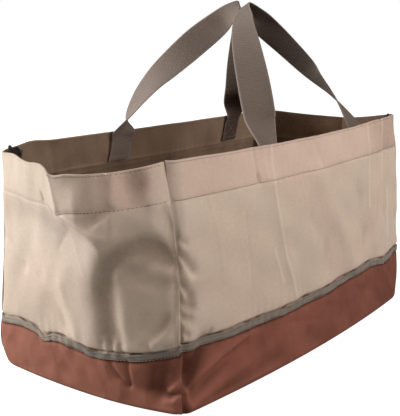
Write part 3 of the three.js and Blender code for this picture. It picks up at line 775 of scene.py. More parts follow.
def clothMaterial(name, look):
    # woven cloth: tone, weave bump over fine wrinkles, and a roughness that drifts with the tone
    material = bpy.data.materials.new(name)
    material.use_nodes = True
    tree = material.node_tree
    shader = tree.nodes["Principled BSDF"]
    uv = nodeIn(tree, "ShaderNodeUVMap", {"uv_map": "cloth"}).outputs[0]
    place = nodeIn(tree, "ShaderNodeTexCoord").outputs["Object"]
    if look["weave"] == "rib":
        weave = groupIn(tree, ribWeave, Place=uv, Rib=look["pitch"], Warp=look["warp"])
    else:
        weave = groupIn(tree, plainWeave, Place=uv, Pitch=look["pitch"], Slub=look["slub"])
    # the rub mask holds wear and painted highlights, the tint mask a warmer hem and painted light, the
    # shade mask painted shade
    rub, tint, shade, inner = (
        nodeIn(tree, "ShaderNodeAttribute", {"attribute_name": mask}).outputs["Fac"]
        for mask in ("rub", "tint", "shade", "inner")
    )
    tone = groupIn(
        tree, clothTone, Place=place, Colour=linear(*look["colour"]), Drift_Colour=linear(*look["drift"]),
        Drift_Size=look["driftSize"], Thread=weave["Thread"], Thread_Depth=look["threadDepth"],
        Rub=mathIn(tree, "MULTIPLY", rub, look["rubAndHighlightShare"]), Rub_Colour=linear(*look["rubColour"]),
        Tint=tint, Tint_Colour=linear(*look.get("tintColour", look["colour"])), Shade=shade,
        Mottle=look["mottle"], Inner=inner, Inner_Colour=linear(*look.get("innerColour", look["colour"])),
    )
    tree.links.new(tone["Colour"], shader.inputs["Base Color"])
    rough = mathIn(tree, "MULTIPLY_ADD", tone["Drift"], look["roughDrift"], look["rough"])
    tree.links.new(rough, shader.inputs["Roughness"])
    bump = nodeIn(
        tree, "ShaderNodeBump", Height=weave["Height"], Strength=look["bump"], Distance=look["bumpDeep"],
    )
    if "crumple" in look:
        wrinkles = groupIn(tree, fineCrumple, Place=uv, Size=look["crumpleSize"])["Height"]
        creased = nodeIn(
            tree, "ShaderNodeBump", Height=wrinkles, Strength=look["crumple"], Distance=look["crumpleDeep"],
        )
        tree.links.new(creased.outputs[0], bump.inputs["Normal"])
    tree.links.new(bump.outputs[0], shader.inputs["Normal"])
    shader.inputs["Specular IOR Level"].default_value = look["shine"]
    shader.inputs["Sheen Weight"].default_value = look["sheen"]
    shader.inputs["Sheen Roughness"].default_value = look["sheenRough"]
    return material


materials = {name: clothMaterial(name + "Cloth", {**commonLook, **look}) for name, look in looks.items()}
print("materials:", len(materials))


# upper panels: one cloth each, up the outside, over the rim and down inside to the hem stitching

sideNames = {"front": "front", "back": "back", "left": "left_end", "right": "right_end"}
panel = {
    "cloth": 1.1,  # thickness
    "lap": 2.0,  # cloth below the join, hidden by the tape
    "hemFold": 1.25,  # radius of the fold at the rim
    "hemEdge": 7.0,  # inner cloth below the hem stitching
    "edgeRoom": 0.15,  # from the corner seam
    "flap": 4.0,  # seam allowance of the long sides, lying under the end cloth
    "flapHem": 0.1,  # share of it in the hem
    "step": 2.0,  # grid along a side, finer near the seams
    "seamStep": 0.5,
    "seamReach": 7.0,
    # grid up the cloth, finer at the sewn rows
    "rowStep": {"front": 2.8, "back": 2.8, "left": 2.2, "right": 2.2},
    "sewnStep": 1.0,
    "sewnReach": 6.0,
    "aboveTape": 6.0,
    "foldSteps": 9,
    "held": "hung",
    # masks from 0 to 1 on the cloth; stops are a place along the side or a cloth height, and a value
    "bodyEnd": (4, 0),  # depths below the hem stitching where the body's seam highlight and painted seam shade end
    "rimRub": 0.12,
    "rimRubWide": 2.0,
    "seamHighlightWide": {"front": 0.8, "back": 0.8, "left": 2.2, "right": 2.2},  # painted highlight along the seam's edge
    "crestHighlight": 0.9,  # and painted highlights along sharp creases
    "crestWide": 1.9,
    "crestSharp": 0.55,
    "hemTintAndLightFrom": (1, -2),  # the hem is warmer and paler: partly its double cloth, partly painted light, most on the left end's shaded facet
    "hemTintAndLight": {
        "front": ((0.01, 0.4), (0.08, 1)), "back": ((0, 1),),
        "left": ((0.62, 0), (0.85, 1), (0.9, 1), (0.98, 0.4)), "right": ((0, 1),),
    },
    "foldShade": 0.42,  # painted shade, darker down in the folds
    "foldFrom": 0.8,
    "foldDeep": 4.5,
    "tapeShade": 0.85,  # painted shadow along the tape's upper edge, in a broken line
    "tapeShare": 0.68,
    "tapeWaves": ((0.3, 9.3, 1), (0.25, 4.1, 0)),
    "tapeLeast": {"front": 0.6, "back": 0.6, "left": 0.25, "right": 0.6},
    "tapeEnd": ((83.2, 1), (85.8, 0)),
    "seamShade": 0.62,  # painted shade beside the corner seams, in patches
    "seamAt": 3.0,
    "seamWide": 2.8,
    "seamEnd": (40, 20),
    "seamShare": 0.55,
    "seamWaves": ((0.3, 6.3, 0), (0.25, 14.7, 1)),
    "endSeamShade": 0.248,
    "endSeamAt": 4.5,
    "endSeamWide": 2.5,
    "hemSeam": ((252, 0), (264, 0.434)),  # painted shade on the seam up through the hem
    "hemSeamWide": 0.9,
    "rimShade": 0.3,  # painted shade on the rim's fold
    "rimShadeWide": 1.2,
    "lowShade": {"left": ((0.3, 0.13), (0.5, 0))},  # painted shade low on the left end
    "lowShadeHeights": ((105, 1), (150, 0)),
    # painted shade on the ends of the front's hem
    "hemShade": {"front": ((0.08, 0.08), (0.3, 0), (0.7, 0), (0.9, 0.28))},
    "innerShade": {"front": 0.4, "back": 0.4, "left": 0.4, "right": 0.88},  # darker on the coated inner face: partly its own tone, partly painted shade, most inside the right end
    "pastRim": 1.0,  # how far over the rim the outer face's tone goes
}


def sideSteps(side):
    # places along a side, and past both seams where the side has flaps
    wide = shell["width"][side]
    inner = wide - 2 * panel["edgeRoom"]
    steps = steppedPlaces(inner, panel["seamStep"], panel["step"], [0, inner], panel["seamReach"])
    places = (panel["edgeRoom"] + steps) / wide
    if side in endSides:
        return places
    past = np.array([1.0, 0.5]) * panel["flap"] / wide
    return np.concatenate([places[0] - past, places, places[-1] + past[::-1]])


def wallPoint(side, places, heights, off):
    # a face of the side's cloth; a flap runs straight on from the cloth's edge, and stops short in the hem
    wide = shell["width"][side]
    room = panel["edgeRoom"] / wide
    inside = np.clip(places, room, 1 - room)
    points = offPoint(side, inside[None, :], heights[:, None], off)
    flap = places != inside
    if flap.any():
        past = ((places - inside) * wide)[flap]
        back = 0.5 / wide  # half a millimetre in from the edge gives its direction
        before = inside[flap] - np.sign(past) * back
        way = unit(points[:, flap] - offPoint(side, before[None, :], heights[:, None], off))
        short = panel["flapHem"]
        reach = short + (1 - short) * belowHem(heights, *shell["edgeEnd"])
        points[:, flap] += way * (reach[:, None] * np.abs(past)[None, :])[..., None]
    return points


def panelPath(side):
    # cloth heights and depths of both faces: straight up, half round the rim, straight down inside
    low = shell["tapeLine"] - panel["lap"]
    turnAt = shell["rimLine"] - panel["hemFold"]
    hemLow = shell["hemLine"] - panel["hemEdge"]
    steps = (panel["sewnStep"], panel["rowStep"][side])
    marks = [0, shell["tapeLine"] + panel["aboveTape"] - low, shell["hemLine"] - low, turnAt - low]
    up = low + steppedPlaces(turnAt - low, *steps, marks, panel["sewnReach"])
    marks = [turnAt - shell["hemLine"]]
    down = turnAt - steppedPlaces(turnAt - hemLow, *steps, marks, panel["sewnReach"])
    angle = np.linspace(0, np.pi, panel["foldSteps"] + 2)[1:-1]
    radius = panel["hemFold"]
    faces = []
    for turn, depth in ((radius, 0.0), (radius - panel["cloth"], panel["cloth"])):
        height = np.concatenate([up, turnAt + turn * np.sin(angle), down])
        inward = np.concatenate([
            np.full(len(up), depth), radius - turn * np.cos(angle), np.full(len(down), 2 * radius - depth),
        ])
        faces.append((height, inward))
    inside = 2 * turnAt - low - down + np.pi * radius
    run = np.concatenate([up - low, turnAt - low + angle * radius, inside])
    return faces, run


def creaseCrests(side, s, t):
    # painted highlights along sharp raised creases: a narrow bell round each such run
    s, t = np.broadcast_arrays(s, t)
    rows = [
        (panel["crestHighlight"], panel["crestWide"], 0, *places)
        for rise, half, sharp, *places in creaseRows[side] if rise > 0 and sharp > panel["crestSharp"]
    ]
    return foldSum(rows, shell["width"][side], s, t)


def panelShade(side, s, t, body):
    # painted shade, the darkest of: folds, the line over the tape, the corner seams, the hem's seam and
    # ends, the rim, low on the left end
    x = s * shell["width"][side]
    fromSeam = np.maximum(np.minimum(s, 1 - s), 0) * shell["width"][side]
    relief = clothRelief(side, *np.broadcast_arrays(s, t))
    broken = np.clip(panel["tapeShare"] + waveSum(x, panel["tapeWaves"]), panel["tapeLeast"][side], 1)
    if side in endSides:
        seam = panel["endSeamShade"] * bell(fromSeam - panel["endSeamAt"], panel["endSeamWide"]) * body
    else:
        patchy = panel["seamShare"] + waveSum(t, panel["seamWaves"])
        seam = panel["seamShade"] * bell(fromSeam - panel["seamAt"], panel["seamWide"]) * patchy
        seam = seam * belowHem(t, *panel["seamEnd"])
    shades = [
        panel["foldShade"] * np.clip((-relief - panel["foldFrom"]) / panel["foldDeep"], 0, 1),
        panel["tapeShade"] * broken * smoothRun(t, panel["tapeEnd"]),
        seam,
        smoothRun(t, panel["hemSeam"]) * bell(fromSeam, panel["hemSeamWide"]) * (1 - body),
        panel["rimShade"] * bell(t - shell["rimLine"], panel["rimShadeWide"]),
    ]
    # painted shade low on the left end
    if side in panel["lowShade"]:
        shades.append(smoothRun(s, panel["lowShade"][side]) * smoothRun(t, panel["lowShadeHeights"]))
    # painted shade on the ends of the front's hem
    if side in panel["hemShade"]:
        shades.append(smoothRun(s, panel["hemShade"][side]) * (1 - body))
    return np.maximum.reduce(np.broadcast_arrays(*shades))


def panelMasks(side, places, heights, run):
    # rub and painted highlights, tint and painted light, and painted shade on the outer face; past the rim
    # and on the back the cloth is all inner face
    s = places[None, :]
    t = heights[:, None]
    fromSeam = np.maximum(np.minimum(s, 1 - s), 0) * shell["width"][side]
    body = belowHem(t, *panel["bodyEnd"])
    rub = panel["rimRub"] * np.exp(-np.abs(shell["rimLine"] - t) / panel["rimRubWide"])
    # painted highlight along the corner seams' edges
    rub = rub + bell(fromSeam, panel["seamHighlightWide"][side]) * body
    # painted highlights along sharp creases
    rub = np.clip(rub + creaseCrests(side, s, t), 0, 1)
    # the hem's warmer tone, partly painted light
    tint = (1 - belowHem(t, *panel["hemTintAndLightFrom"])) * smoothRun(s, panel["hemTintAndLight"][side])
    overRim = shell["rimLine"] - shell["tapeLine"] + panel["lap"] + panel["pastRim"]
    outside = run[:, None] < overRim
    within = {"rub": 0.0, "tint": 0.0, "shade": panel["innerShade"][side], "inner": 1.0}
    without = {"rub": rub, "tint": tint, "shade": panelShade(side, s, t, body), "inner": 0.0}
    grid = (len(heights), len(places))
    masks = {}
    for name, value in within.items():
        outer = np.broadcast_to(np.where(outside, without[name], value), grid)
        masks[name] = np.append(outer.ravel(), np.full(outer.size, value))
    return masks


def makePanel(side):
    # the path up, over and down carried along the side, both faces closed into one sheet
    places = sideSteps(side)
    faces, run = panelPath(side)
    wide = shell["width"][side]
    grids = [wallPoint(side, places, height, -depth[:, None]) for height, depth in faces]
    points, quads = closedSheet(*grids)
    cloth = np.tile(clothGrid(places * wide, run), (2, 1))
    masks = panelMasks(side, places, faces[0][0], run)
    node = sideNames[side] + "_panel"
    piece = addPiece(node + "_cloth", points, quads, cloth, materials["upper"], masks, node)


for side in sideNames:
    makePanel(side)
print("upper panels made")


# floor panel: a sheet filled in between the four floor seams

base = {
    "thick": 2.0,
    "lap": 1.5,  # past the floor seams, raised under the bands
    "lapRise": 1.6,
    "lapTop": 0.6,  # share of that rise on the upper face
    "cornerRoom": 0.002,
    "stepsLong": 96,
    "stepsShort": 50,
    "slack": 0.7,  # low waves of the upper face, flat along the border; lengths over two pi in x and y
    "crossWaves": (41, 29),
    "slantWaves": (23, 37),
    "wavePhase": 0.6,
    "slantShare": 0.6,
    "border": 0.08,
    "held": "stretched",
}


def makeBase():
    # each point is the two straight blends between facing edges, less the blend of the corners
    u = np.linspace(0, 1, base["stepsLong"])
    v = np.linspace(0, 1, base["stepsShort"])
    room = base["cornerRoom"]
    uPlaces = room + (1 - 2 * room) * u
    vPlaces = room + (1 - 2 * room) * v
    front = shellPoint("front", uPlaces, 0.0)
    back = shellPoint("back", 1 - uPlaces, 0.0)
    left = shellPoint("left", 1 - vPlaces, 0.0)
    right = shellPoint("right", vPlaces, 0.0)
    left[[0, -1]] = front[0], back[0]
    right[[0, -1]] = front[-1], back[-1]
    toRight = u[None, :, None]
    toBack = v[:, None, None]
    grid = (1 - toBack) * front[None] + toBack * back[None]
    grid = grid + (1 - toRight) * left[:, None] + toRight * right[:, None]
    grid = grid - (1 - toBack) * ((1 - toRight) * front[0] + toRight * front[-1])
    grid = grid - toBack * ((1 - toRight) * back[0] + toRight * back[-1])
    middle = grid.reshape(-1, 3).mean(0)
    half = np.ptp(grid[..., :2].reshape(-1, 2), axis=0) / 2
    grid[..., :2] = middle[:2] + (grid[..., :2] - middle[:2]) * (1 + base["lap"] / half)
    lap = np.pad(np.zeros((len(v) - 2, len(u) - 2)), 1, constant_values=base["lapRise"])
    grid[..., 2] = lap
    x = grid[..., 0]
    y = grid[..., 1]
    crossX, crossY = base["crossWaves"]
    slantX, slantY = base["slantWaves"]
    wave = np.sin(x / crossX) * np.sin(y / crossY + base["wavePhase"])
    wave = wave + base["slantShare"] * np.sin(x / slantX + y / slantY)
    fromEdge = np.minimum(np.minimum(u, 1 - u)[None, :], np.minimum(v, 1 - v)[:, None])
    wave = wave * smoothStep(fromEdge, 0, base["border"])
    top = grid.copy()
    top[..., 2] = base["thick"] + base["slack"] * wave + base["lapTop"] * lap
    points, quads = closedSheet(top, grid)
    cloth = np.tile(grid[..., :2].reshape(-1, 2) * mm, (2, 1))
    piece = addPiece(
        "base_panel_cloth", points, quads, cloth, materials["lower"], {}, "base_panel",
    )


makeBase()
print("floor panel made")


# tapes over the join

tape = {
    "half": 3.8,
    "lift": 0.25,
    "thick": 1.0,
    "edgeThin": 0.12,  # share of the thickness at the long edges
    "endRoom": 1.2,
    "edgeRise": 0.7,
    "dipShare": 0.3,  # how far it follows the cloth out of the join's dip
    "step": 1.6,
    "endStep": 0.8,
    "endReach": 6.0,
    "stepsAcross": 11,
    "waves": ((0.5, 19.0, 0), (0.4, 8.3, 1)),  # the strip strays up and down
    "crumpleWaves": ((1.0, 6.7, 2), (0.8, 3.7, 0)),  # its upper edge under the slack cloth
    "crumple": {"front": 0.25, "back": 0.25, "left": 0.6, "right": 0.35},
    "crumpleAcross": (-0.2, 1),  # shares of the half width, from the middle to the upper edge
    "riseAcross": (0.2, 1),
    "edgePower": 6,  # the higher, the squarer its long edges
    "rubAt": 0.15,
    "rubWide": 0.55,
    # painted light: paler on the left end's lit facet
    "pale": {"left": ((0.45, 1), (0.62, 0))},
}


def makeTape(side):
    # a flat strip with rounded long edges that follows the join, its upper edge standing off a little
    wide = shell["width"][side]
    inner = wide - 2 * tape["endRoom"]
    steps = steppedPlaces(inner, tape["endStep"], tape["step"], [0, inner], tape["endReach"])
    places = (tape["endRoom"] + steps) / wide
    x = places * wide
    across = np.linspace(-1, 1, tape["stepsAcross"])
    crumple = tape["crumple"][side] * waveSum(x, tape["crumpleWaves"])
    heights = shell["tapeLine"] + tape["half"] * across[:, None] + waveSum(x, tape["waves"])[None, :]
    heights = heights + crumple[None, :] * smoothStep(across, *tape["crumpleAcross"])[:, None]
    dip = shell["tapeDip"] * (1 - bell(heights - shell["tapeLine"], shell["tapeDipWide"]))
    stand = tape["edgeRise"] * smoothStep(across, *tape["riseAcross"])[:, None]
    under = tape["lift"] + stand - dip * tape["dipShare"]
    body = np.sqrt(np.clip(1 - across ** tape["edgePower"], 0, 1))[:, None]
    over = under + tape["thick"] * (tape["edgeThin"] + (1 - tape["edgeThin"]) * body)
    points, quads = closedSheet(*(offPoint(side, places[None, :], heights, off) for off in (over, under)))
    cloth = np.stack(np.meshgrid(across * tape["half"] * mm, x * mm, indexing="ij"), -1).reshape(-1, 2)
    grid = heights.shape
    rub = np.broadcast_to(bell(across - tape["rubAt"], tape["rubWide"])[:, None], grid).ravel()
    # painted light on the left end's lit facet
    tint = np.broadcast_to(smoothRun(places, tape["pale"].get(side, ((0, 0),)))[None, :], grid).ravel()
    masks = {"rub": np.tile(rub, 2), "tint": np.tile(tint, 2)}
    node = sideNames[side] + "_tape"
    addPiece(
        node + "_strip", points, quads, np.tile(cloth, (2, 1)), materials["tape"], masks, node,
    )


# lower bands: brown cloth from the floor seam up to the join

band = {
    "cloth": 1.1,
    "joinRoom": 0.4,  # below the join
    "rowStep": 2.4,  # grid up the cloth, finer at the floor seam, the heel and the join
    "fineStep": 0.9,
    "fineReach": 5.0,
    "heelRub": 0.15,
    "heelRubAt": 7.0,
    "heelRubWide": 5.0,
    # painted highlight along the corner seams
    "seamHighlight": 0.9,
    "seamHighlightWide": 1.5,
    "foldShade": 0.72,  # painted shade, darker down in the folds
    "foldFrom": 0.4,
    "foldDeep": 5.0,
    # painted shadow along the heel
    "heelShade": {"front": 0.3, "back": 0.3, "left": 0.08, "right": 0.08},
    "heelHeights": ((2, 1), (8, 0)),
    # painted shadow at the band's top, under the tape
    "tapeShade": ((70.6, 0), (72.8, 0.7)),
    "cornerShade": 0.8,  # painted shade low at the corners of the long sides
    "cornerWide": 7.0,
    "cornerHeights": ((8, 1), (24, 0)),
    # painted shade towards the front band's far end
    "farShade": {"front": ((0.55, 0), (0.85, 0.14))},
    # painted light: the end bands take the paler tint colour, a lit copy of the brown cloth
    "tint": {"front": 0.0, "back": 0.0, "left": 1.0, "right": 1.0},
    "held": "stretched",
}


def bandMasks(side, places, heights):
    # rubbed at the heel, painted highlight at the seams; painted shade: the darkest of folds, heel, tape,
    # corners and the front's far end; the end bands take the paler tint as painted light
    s = places[None, :]
    t = heights[:, None]
    fromSeam = np.maximum(np.minimum(s, 1 - s), 0) * shell["width"][side]
    heel = band["heelRub"] * bell(t - band["heelRubAt"], band["heelRubWide"])
    rub = np.clip(heel + band["seamHighlight"] * bell(fromSeam, band["seamHighlightWide"]), 0, 1)
    relief = clothRelief(side, *np.broadcast_arrays(s, t))
    dark = band["foldShade"] * np.clip((-relief - band["foldFrom"]) / band["foldDeep"], 0, 1)
    dark = np.maximum(dark, band["heelShade"][side] * smoothRun(t, band["heelHeights"]))
    dark = np.maximum(dark, smoothRun(t, band["tapeShade"]))
    if side not in endSides:
        corner = band["cornerShade"] * bell(fromSeam, band["cornerWide"])
        dark = np.maximum(dark, corner * smoothRun(t, band["cornerHeights"]))
    if side in band["farShade"]:
        dark = np.maximum(dark, smoothRun(s, band["farShade"][side]))
    masks = {"rub": rub, "shade": dark, "tint": np.full(dark.shape, band["tint"][side])}
    return {name: np.tile(mask.ravel(), 2) for name, mask in masks.items()}


def makeBand(side):
    # the shell from the floor seam to the join and its inner face, closed into one sheet
    wide = shell["width"][side]
    places = sideSteps(side)
    top = shell["tapeLine"] - band["joinRoom"]
    heights = steppedPlaces(top, band["fineStep"], band["rowStep"], [0, heelCloth, top], band["fineReach"])
    grids = [wallPoint(side, places, heights, -depth) for depth in (0.0, band["cloth"])]
    points, quads = closedSheet(*grids)
    points[:, 2] = np.maximum(points[:, 2], 0)
    cloth = np.tile(clothGrid(places * wide, heights), (2, 1))
    masks = bandMasks(side, places, heights)
    node = sideNames[side] + "_band"
    piece = addPiece(node + "_cloth", points, quads, cloth, materials["lower"], masks, node)


for side in sideNames:
    makeTape(side)
    makeBand(side)
print("lower bands and tapes made")


# handles: webbing through stations, sewn inside the hem at both ends

web = {
    "width": 39.0,
    "thick": 2.0,
    "selvedge": 0.25,  # the woven edge is a little thicker
    "selvedgeAt": 0.93,
    "selvedgeWide": 0.05,
    "edgeRound": 14,  # the higher, the flatter the faces
    "edgeCrowd": 1.25,  # points crowd towards the edges
    "inset": 0.5,  # room between the sewn end and the hem
    "hemWall": 2 * panel["hemFold"],
    "steps": 420,
    "measureSteps": 3000,
    "around": 44,
    "sewnRows": ((233, 0.0), (249, 0.0), (262, 0.6), (272, 2.0)),  # cloth height, lean off the hem
    "columns": (-0.5, -0.17, 0.17, 0.5),
    "twistWaves": ((0.35, 23, 0),),
    "bendWaves": ((0.3, 37, 1),),
    "edgeRub": (0.86, 1),
    "shadeAt": (0.35, 0.5, 0.62),  # places along a strap of its three painted shades
    "held": "draped",
}
# sewn ends: place along x and which way the width runs; free stations: middle, then direction across
handles = {
    "front_handle": {
        "side": "front",
        "leftX": -91,
        "leftWay": 1,
        "rightX": 128,
        "rightWay": -1,
        # painted shade along the strap
        "shade": (0.27, 0.32, 0.47),
        "free": (
            (-72, -105, 282, 0.88, -0.46, 0.07), (-64, -97, 294, 0.7, -0.71, 0.08),
            (-40, -72, 333, 0.5, -0.85, 0.13), (-16, -46, 374, 0.06, -0.99, 0.1),
            (-3, -34, 392, -0.18, -0.98, 0.06), (9, -26, 405, -0.36, -0.93, 0.09),
            (27, -18, 418, -0.66, -0.72, 0.16), (37, -28, 402, -0.3, -0.83, 0.45),
            (49, -37, 389, -0.25, -0.8, 0.55), (69, -50, 369, -0.31, -0.81, 0.49),
            (97, -69, 339, -0.5, -0.77, 0.4), (107, -79, 324, -0.68, -0.68, 0.28),
            (122, -91, 306, -0.82, -0.55, 0.14), (130, -103, 289, -0.91, -0.42, 0.06),
        ),
    },
    "back_handle": {
        "side": "back",
        "leftX": -84,
        "leftWay": 1,
        "rightX": 172,
        "rightWay": -1,
        # painted shade, darkest on the right leg, which faces away from the light
        "shade": (0.0, 0.18, 0.7),
        "free": (
            (-76, 93, 278, -0.64, -0.75, 0.16), (-67, 82, 302, -0.43, -0.89, -0.15),
            (-54, 70, 323, -0.28, -0.89, -0.36), (-38, 61, 339, -0.17, -0.81, -0.56),
            (1, 44, 371, 0, -0.65, -0.75), (39, 28, 399, -0.23, -0.68, -0.7),
            (53, 20, 414, -0.58, -0.69, -0.44), (65, 17, 420, -0.79, -0.57, -0.22),
            (82, 27, 400, -0.5, -0.85, 0), (105, 45, 366, -0.31, -0.95, 0.05),
            (125, 61, 336, -0.22, -0.97, 0.05), (150, 76, 305, 0.1, -0.99, 0),
            (166, 88, 280, 0.8, -0.6, 0),
        ),
    },
}


def sewnStation(side, atX, way, t, lean):
    # four points across the strap on the inner face of the hem
    section = sectionAt(np.array(float(t)))
    if side == "front":
        span = section["flX"] + section["frX"]
        middle = (atX + section["flX"]) / span
    else:
        span = section["brX"] + section["blX"]
        middle = (section["brX"] - atX) / span
    places = middle + way * np.array(web["columns"]) * web["width"] / span
    return offPoint(side, places, float(t), -(web["hemWall"] + web["inset"] + web["thick"] / 2 + lean))


def strapStations(handle):
    # sewn rows at the left end, the free stations, and sewn rows at the right end
    ends = {}
    for end in ("left", "right"):
        where = (handle["side"], handle[end + "X"], handle[end + "Way"])
        ends[end] = [sewnStation(*where, *row) for row in web["sewnRows"]]
    free = np.array(handle["free"], float)
    across = unit(free[:, 3:])
    spread = np.array(web["columns"]) * web["width"]
    loose = free[:, None, :3] + across[:, None, :] * spread[None, :, None]
    return np.concatenate([ends["left"], loose, ends["right"][::-1]])


def strapSurface(stations, along, share):
    # middle face: a smooth run through the stations, then a cubic through the four points across
    along, share = np.broadcast_arrays(np.asarray(along, float), np.asarray(share, float))
    gaps = np.linalg.norm(np.diff(stations[:, 1], axis=0), axis=1)
    at = np.concatenate([[0], np.cumsum(np.sqrt(gaps))])
    rows = cubicThrough(at, stations.reshape(len(stations), -1), along * at[-1]).reshape(*along.shape, 4, 3)
    columns = np.array(web["columns"])
    total = 0
    for k in range(4):
        others = np.delete(columns, k)
        weight = np.prod((share[..., None] - others) / (columns[k] - others), axis=-1)
        total = total + rows[..., k, :] * weight[..., None]
    return total


def strapFrame(stations, along, share):
    # middle face with its normals, by small steps both ways
    step = 0.002
    width = 0.01
    after = strapSurface(stations, np.clip(along + step, 0, 1), share)
    before = strapSurface(stations, np.clip(along - step, 0, 1), share)
    sideways = strapSurface(stations, along, share + width) - strapSurface(stations, along, share - width)
    return strapSurface(stations, along, share), unit(np.cross(after - before, sideways))


def makeHandle(name, handle):
    # a closed section carried along the strap: wide flat faces, thicker rounded woven edges
    stations = strapStations(handle)
    dense = np.linspace(0, 1, web["measureSteps"])
    line = strapSurface(stations, dense, 0.0)
    length = np.concatenate([[0], np.cumsum(np.linalg.norm(np.diff(line, axis=0), axis=1))])
    run = np.linspace(0, length[-1], web["steps"])
    along = np.interp(run, length, dense)
    angle = np.linspace(0, 2 * np.pi, web["around"], endpoint=False) + np.pi / web["around"]
    cosine = np.cos(angle)
    share = np.sign(cosine) * (1 - (1 - np.abs(cosine)) ** web["edgeCrowd"]) * 0.5
    out = np.abs(2 * share)
    face = np.sign(np.sin(angle)) * np.clip(1 - out ** web["edgeRound"], 0, 1) ** 0.5
    bead = 1 + web["selvedge"] * bell(out - web["selvedgeAt"], web["selvedgeWide"])
    points, normals = strapFrame(stations, along[:, None], share[None, :])
    twist = waveSum(run, web["twistWaves"])[:, None] * (2 * share[None, :])
    ripple = twist + waveSum(run, web["bendWaves"])[:, None]
    rings = points + normals * (face * bead * web["thick"] / 2 + ripple)[..., None]
    solid, quads = closedTube(rings)
    cloth = clothGrid(share * web["width"], run)
    grid = rings.shape[:2]
    rub = np.broadcast_to(smoothStep(out, *web["edgeRub"])[None, :], grid).ravel()
    # painted shade along the strap
    shade = np.broadcast_to(np.interp(along, web["shadeAt"], handle["shade"])[:, None], grid).ravel()
    masks = {"rub": rub, "shade": shade}
    piece = addPiece(name + "_webbing", solid, quads, cloth, materials["web"], masks, name)
    print(name, "strap length", round(float(length[-1])), "mm")


for name, handle in handles.items():
    makeHandle(name, handle)


# bindings on the seam allowances inside the corners

binding = {
    "wide": 12.0,
    "thick": 2.2,
    "low": 90.0,
    "steps": 120,
    "around": 20,
    "seat": ((222, 1.95), (230, 4.8)),  # distance in from the seam, below the hem and in it
    "flareHeights": (250, 274),
    "looseHeights": (252, 268),  # the cut end is loose: waves across it and up it
    "looseTurn": 9.0,
    "looseRise": 5.0,
    "looseDrop": 0.7,
    "looseDropTurn": 14.0,
    # paler, greyer patches on the loose end's creases, partly painted highlights
    "looseHighlightTurn": 11.0,
    "looseHighlightRise": 3.0,
    "edgeRound": 0.35,
    "edgeRub": (0.8, 1),
    "waves": ((0.9, 13, 0), (0.6, 7.1, 1)),
    "wavePower": 1.5,  # the free edge waves most
    # rise above the rim, slant, flare and crumple of the top end
    "tops": {"left": (4.0, 3.0, 5.0, 2.2), "front": (-1.5, 11.0, 3.0, 0.0)},
    "top": (1.0, 11.0, 3.0, 0.0),
    "held": "stretched",
}
bindingCorners = {"front": "front_left", "right": "front_right", "back": "back_right", "left": "back_left"}


def makeBinding(side, corner):
    # a flat rounded section carried up the corner seam, wavy and a little wider at its cut top end
    rise, slant, flare, crumple = binding["tops"].get(side, binding["top"])
    heights = np.linspace(binding["low"], shell["rimLine"] + rise, binding["steps"])
    angle = np.linspace(0, 2 * np.pi, binding["around"], endpoint=False) + np.pi / binding["around"]
    share = (0.5 - 0.5 * np.cos(angle))[None, :]
    face = (np.sign(np.sin(angle)) * np.abs(np.sin(angle)) ** binding["edgeRound"])[None, :]
    seam = shellPoint(side, np.zeros(len(heights)), heights)
    inward = unit(np.stack([-np.sign(seam[:, 0]), -np.sign(seam[:, 1]), 0 * heights], -1))
    sideways = np.stack([-inward[:, 1], inward[:, 0], 0 * heights], -1)
    t = heights[:, None]
    wide = binding["wide"] + flare * smoothStep(t, *binding["flareHeights"])
    loose = crumple * smoothStep(t, *binding["looseHeights"])
    bend = waveSum(t, binding["waves"]) * share ** binding["wavePower"]
    bend = bend + loose * np.sin(binding["looseTurn"] * share + t / binding["looseRise"])
    rings = seam[:, None] + inward[:, None] * (smoothRun(t, binding["seat"]) + wide * share)[..., None]
    rings = rings + sideways[:, None] * (face * binding["thick"] / 2 + bend)[..., None]
    drop = slant * smoothStep(t, binding["low"], shell["rimLine"]) * share
    lift = binding["looseDrop"] * loose * np.sin(binding["looseDropTurn"] * share)
    rings[..., 2] = rings[..., 2] - drop + lift
    points, quads = closedTube(rings)
    cloth = clothGrid(share[0] * binding["wide"], heights)
    # paler, greyer patches on the loose end's creases, partly painted highlights
    creased = loose * np.sin(binding["looseHighlightTurn"] * share + t / binding["looseHighlightRise"])
    masks = {"rub": np.maximum(smoothStep(share, *binding["edgeRub"]), np.clip(creased, 0, 1))}
    node = corner + "_binding"
    piece = addPiece(node + "_tape", points, quads, cloth, materials["binding"], masks, node)


for side, corner in bindingCorners.items():
    makeBinding(side, corner)
print("bindings made")


# stitches: short thread bars laid along the cloth

stitch = {
    "sides": 6,
    "rings": 4,
    "share": 0.68,  # of the pitch
    "lift": 0.1,
    "sunk": 0.3,  # pulled into the cloth on the left end's far facet
    "sunkPlaces": ((0.52, 1), (0.6, 0)),
    "endRoom": 3.0,
    "strayTurn": 2.4,
    "hem": {"pitch": 3.6, "radius": 0.34},
    "rim": {"pitch": 3.4, "radius": 0.26, "below": 2.6},
    "tape": {
        "pitch": 3.4, "radius": 0.32, "rows": (-3.4, 3.2), "lift": 1.15, "endRoom": 4.0, "stray": 0.15,
    },
    "strap": {"radius": 0.3, "along": (0.012, 0.085), "across": 0.42, "count": 12},
}


def threadBar():
    # one bar along x: round sections that swell from both ends, as a grid of rings
    u = np.linspace(0, np.pi, stitch["rings"] + 2)[1:-1]
    v = np.linspace(0, 2 * np.pi, stitch["sides"], endpoint=False)
    x = -np.cos(u)[:, None] + 0 * v[None, :]
    r = np.sin(u)[:, None] ** 0.5
    return np.stack([x, r * np.cos(v)[None, :], r * np.sin(v)[None, :]], -1)


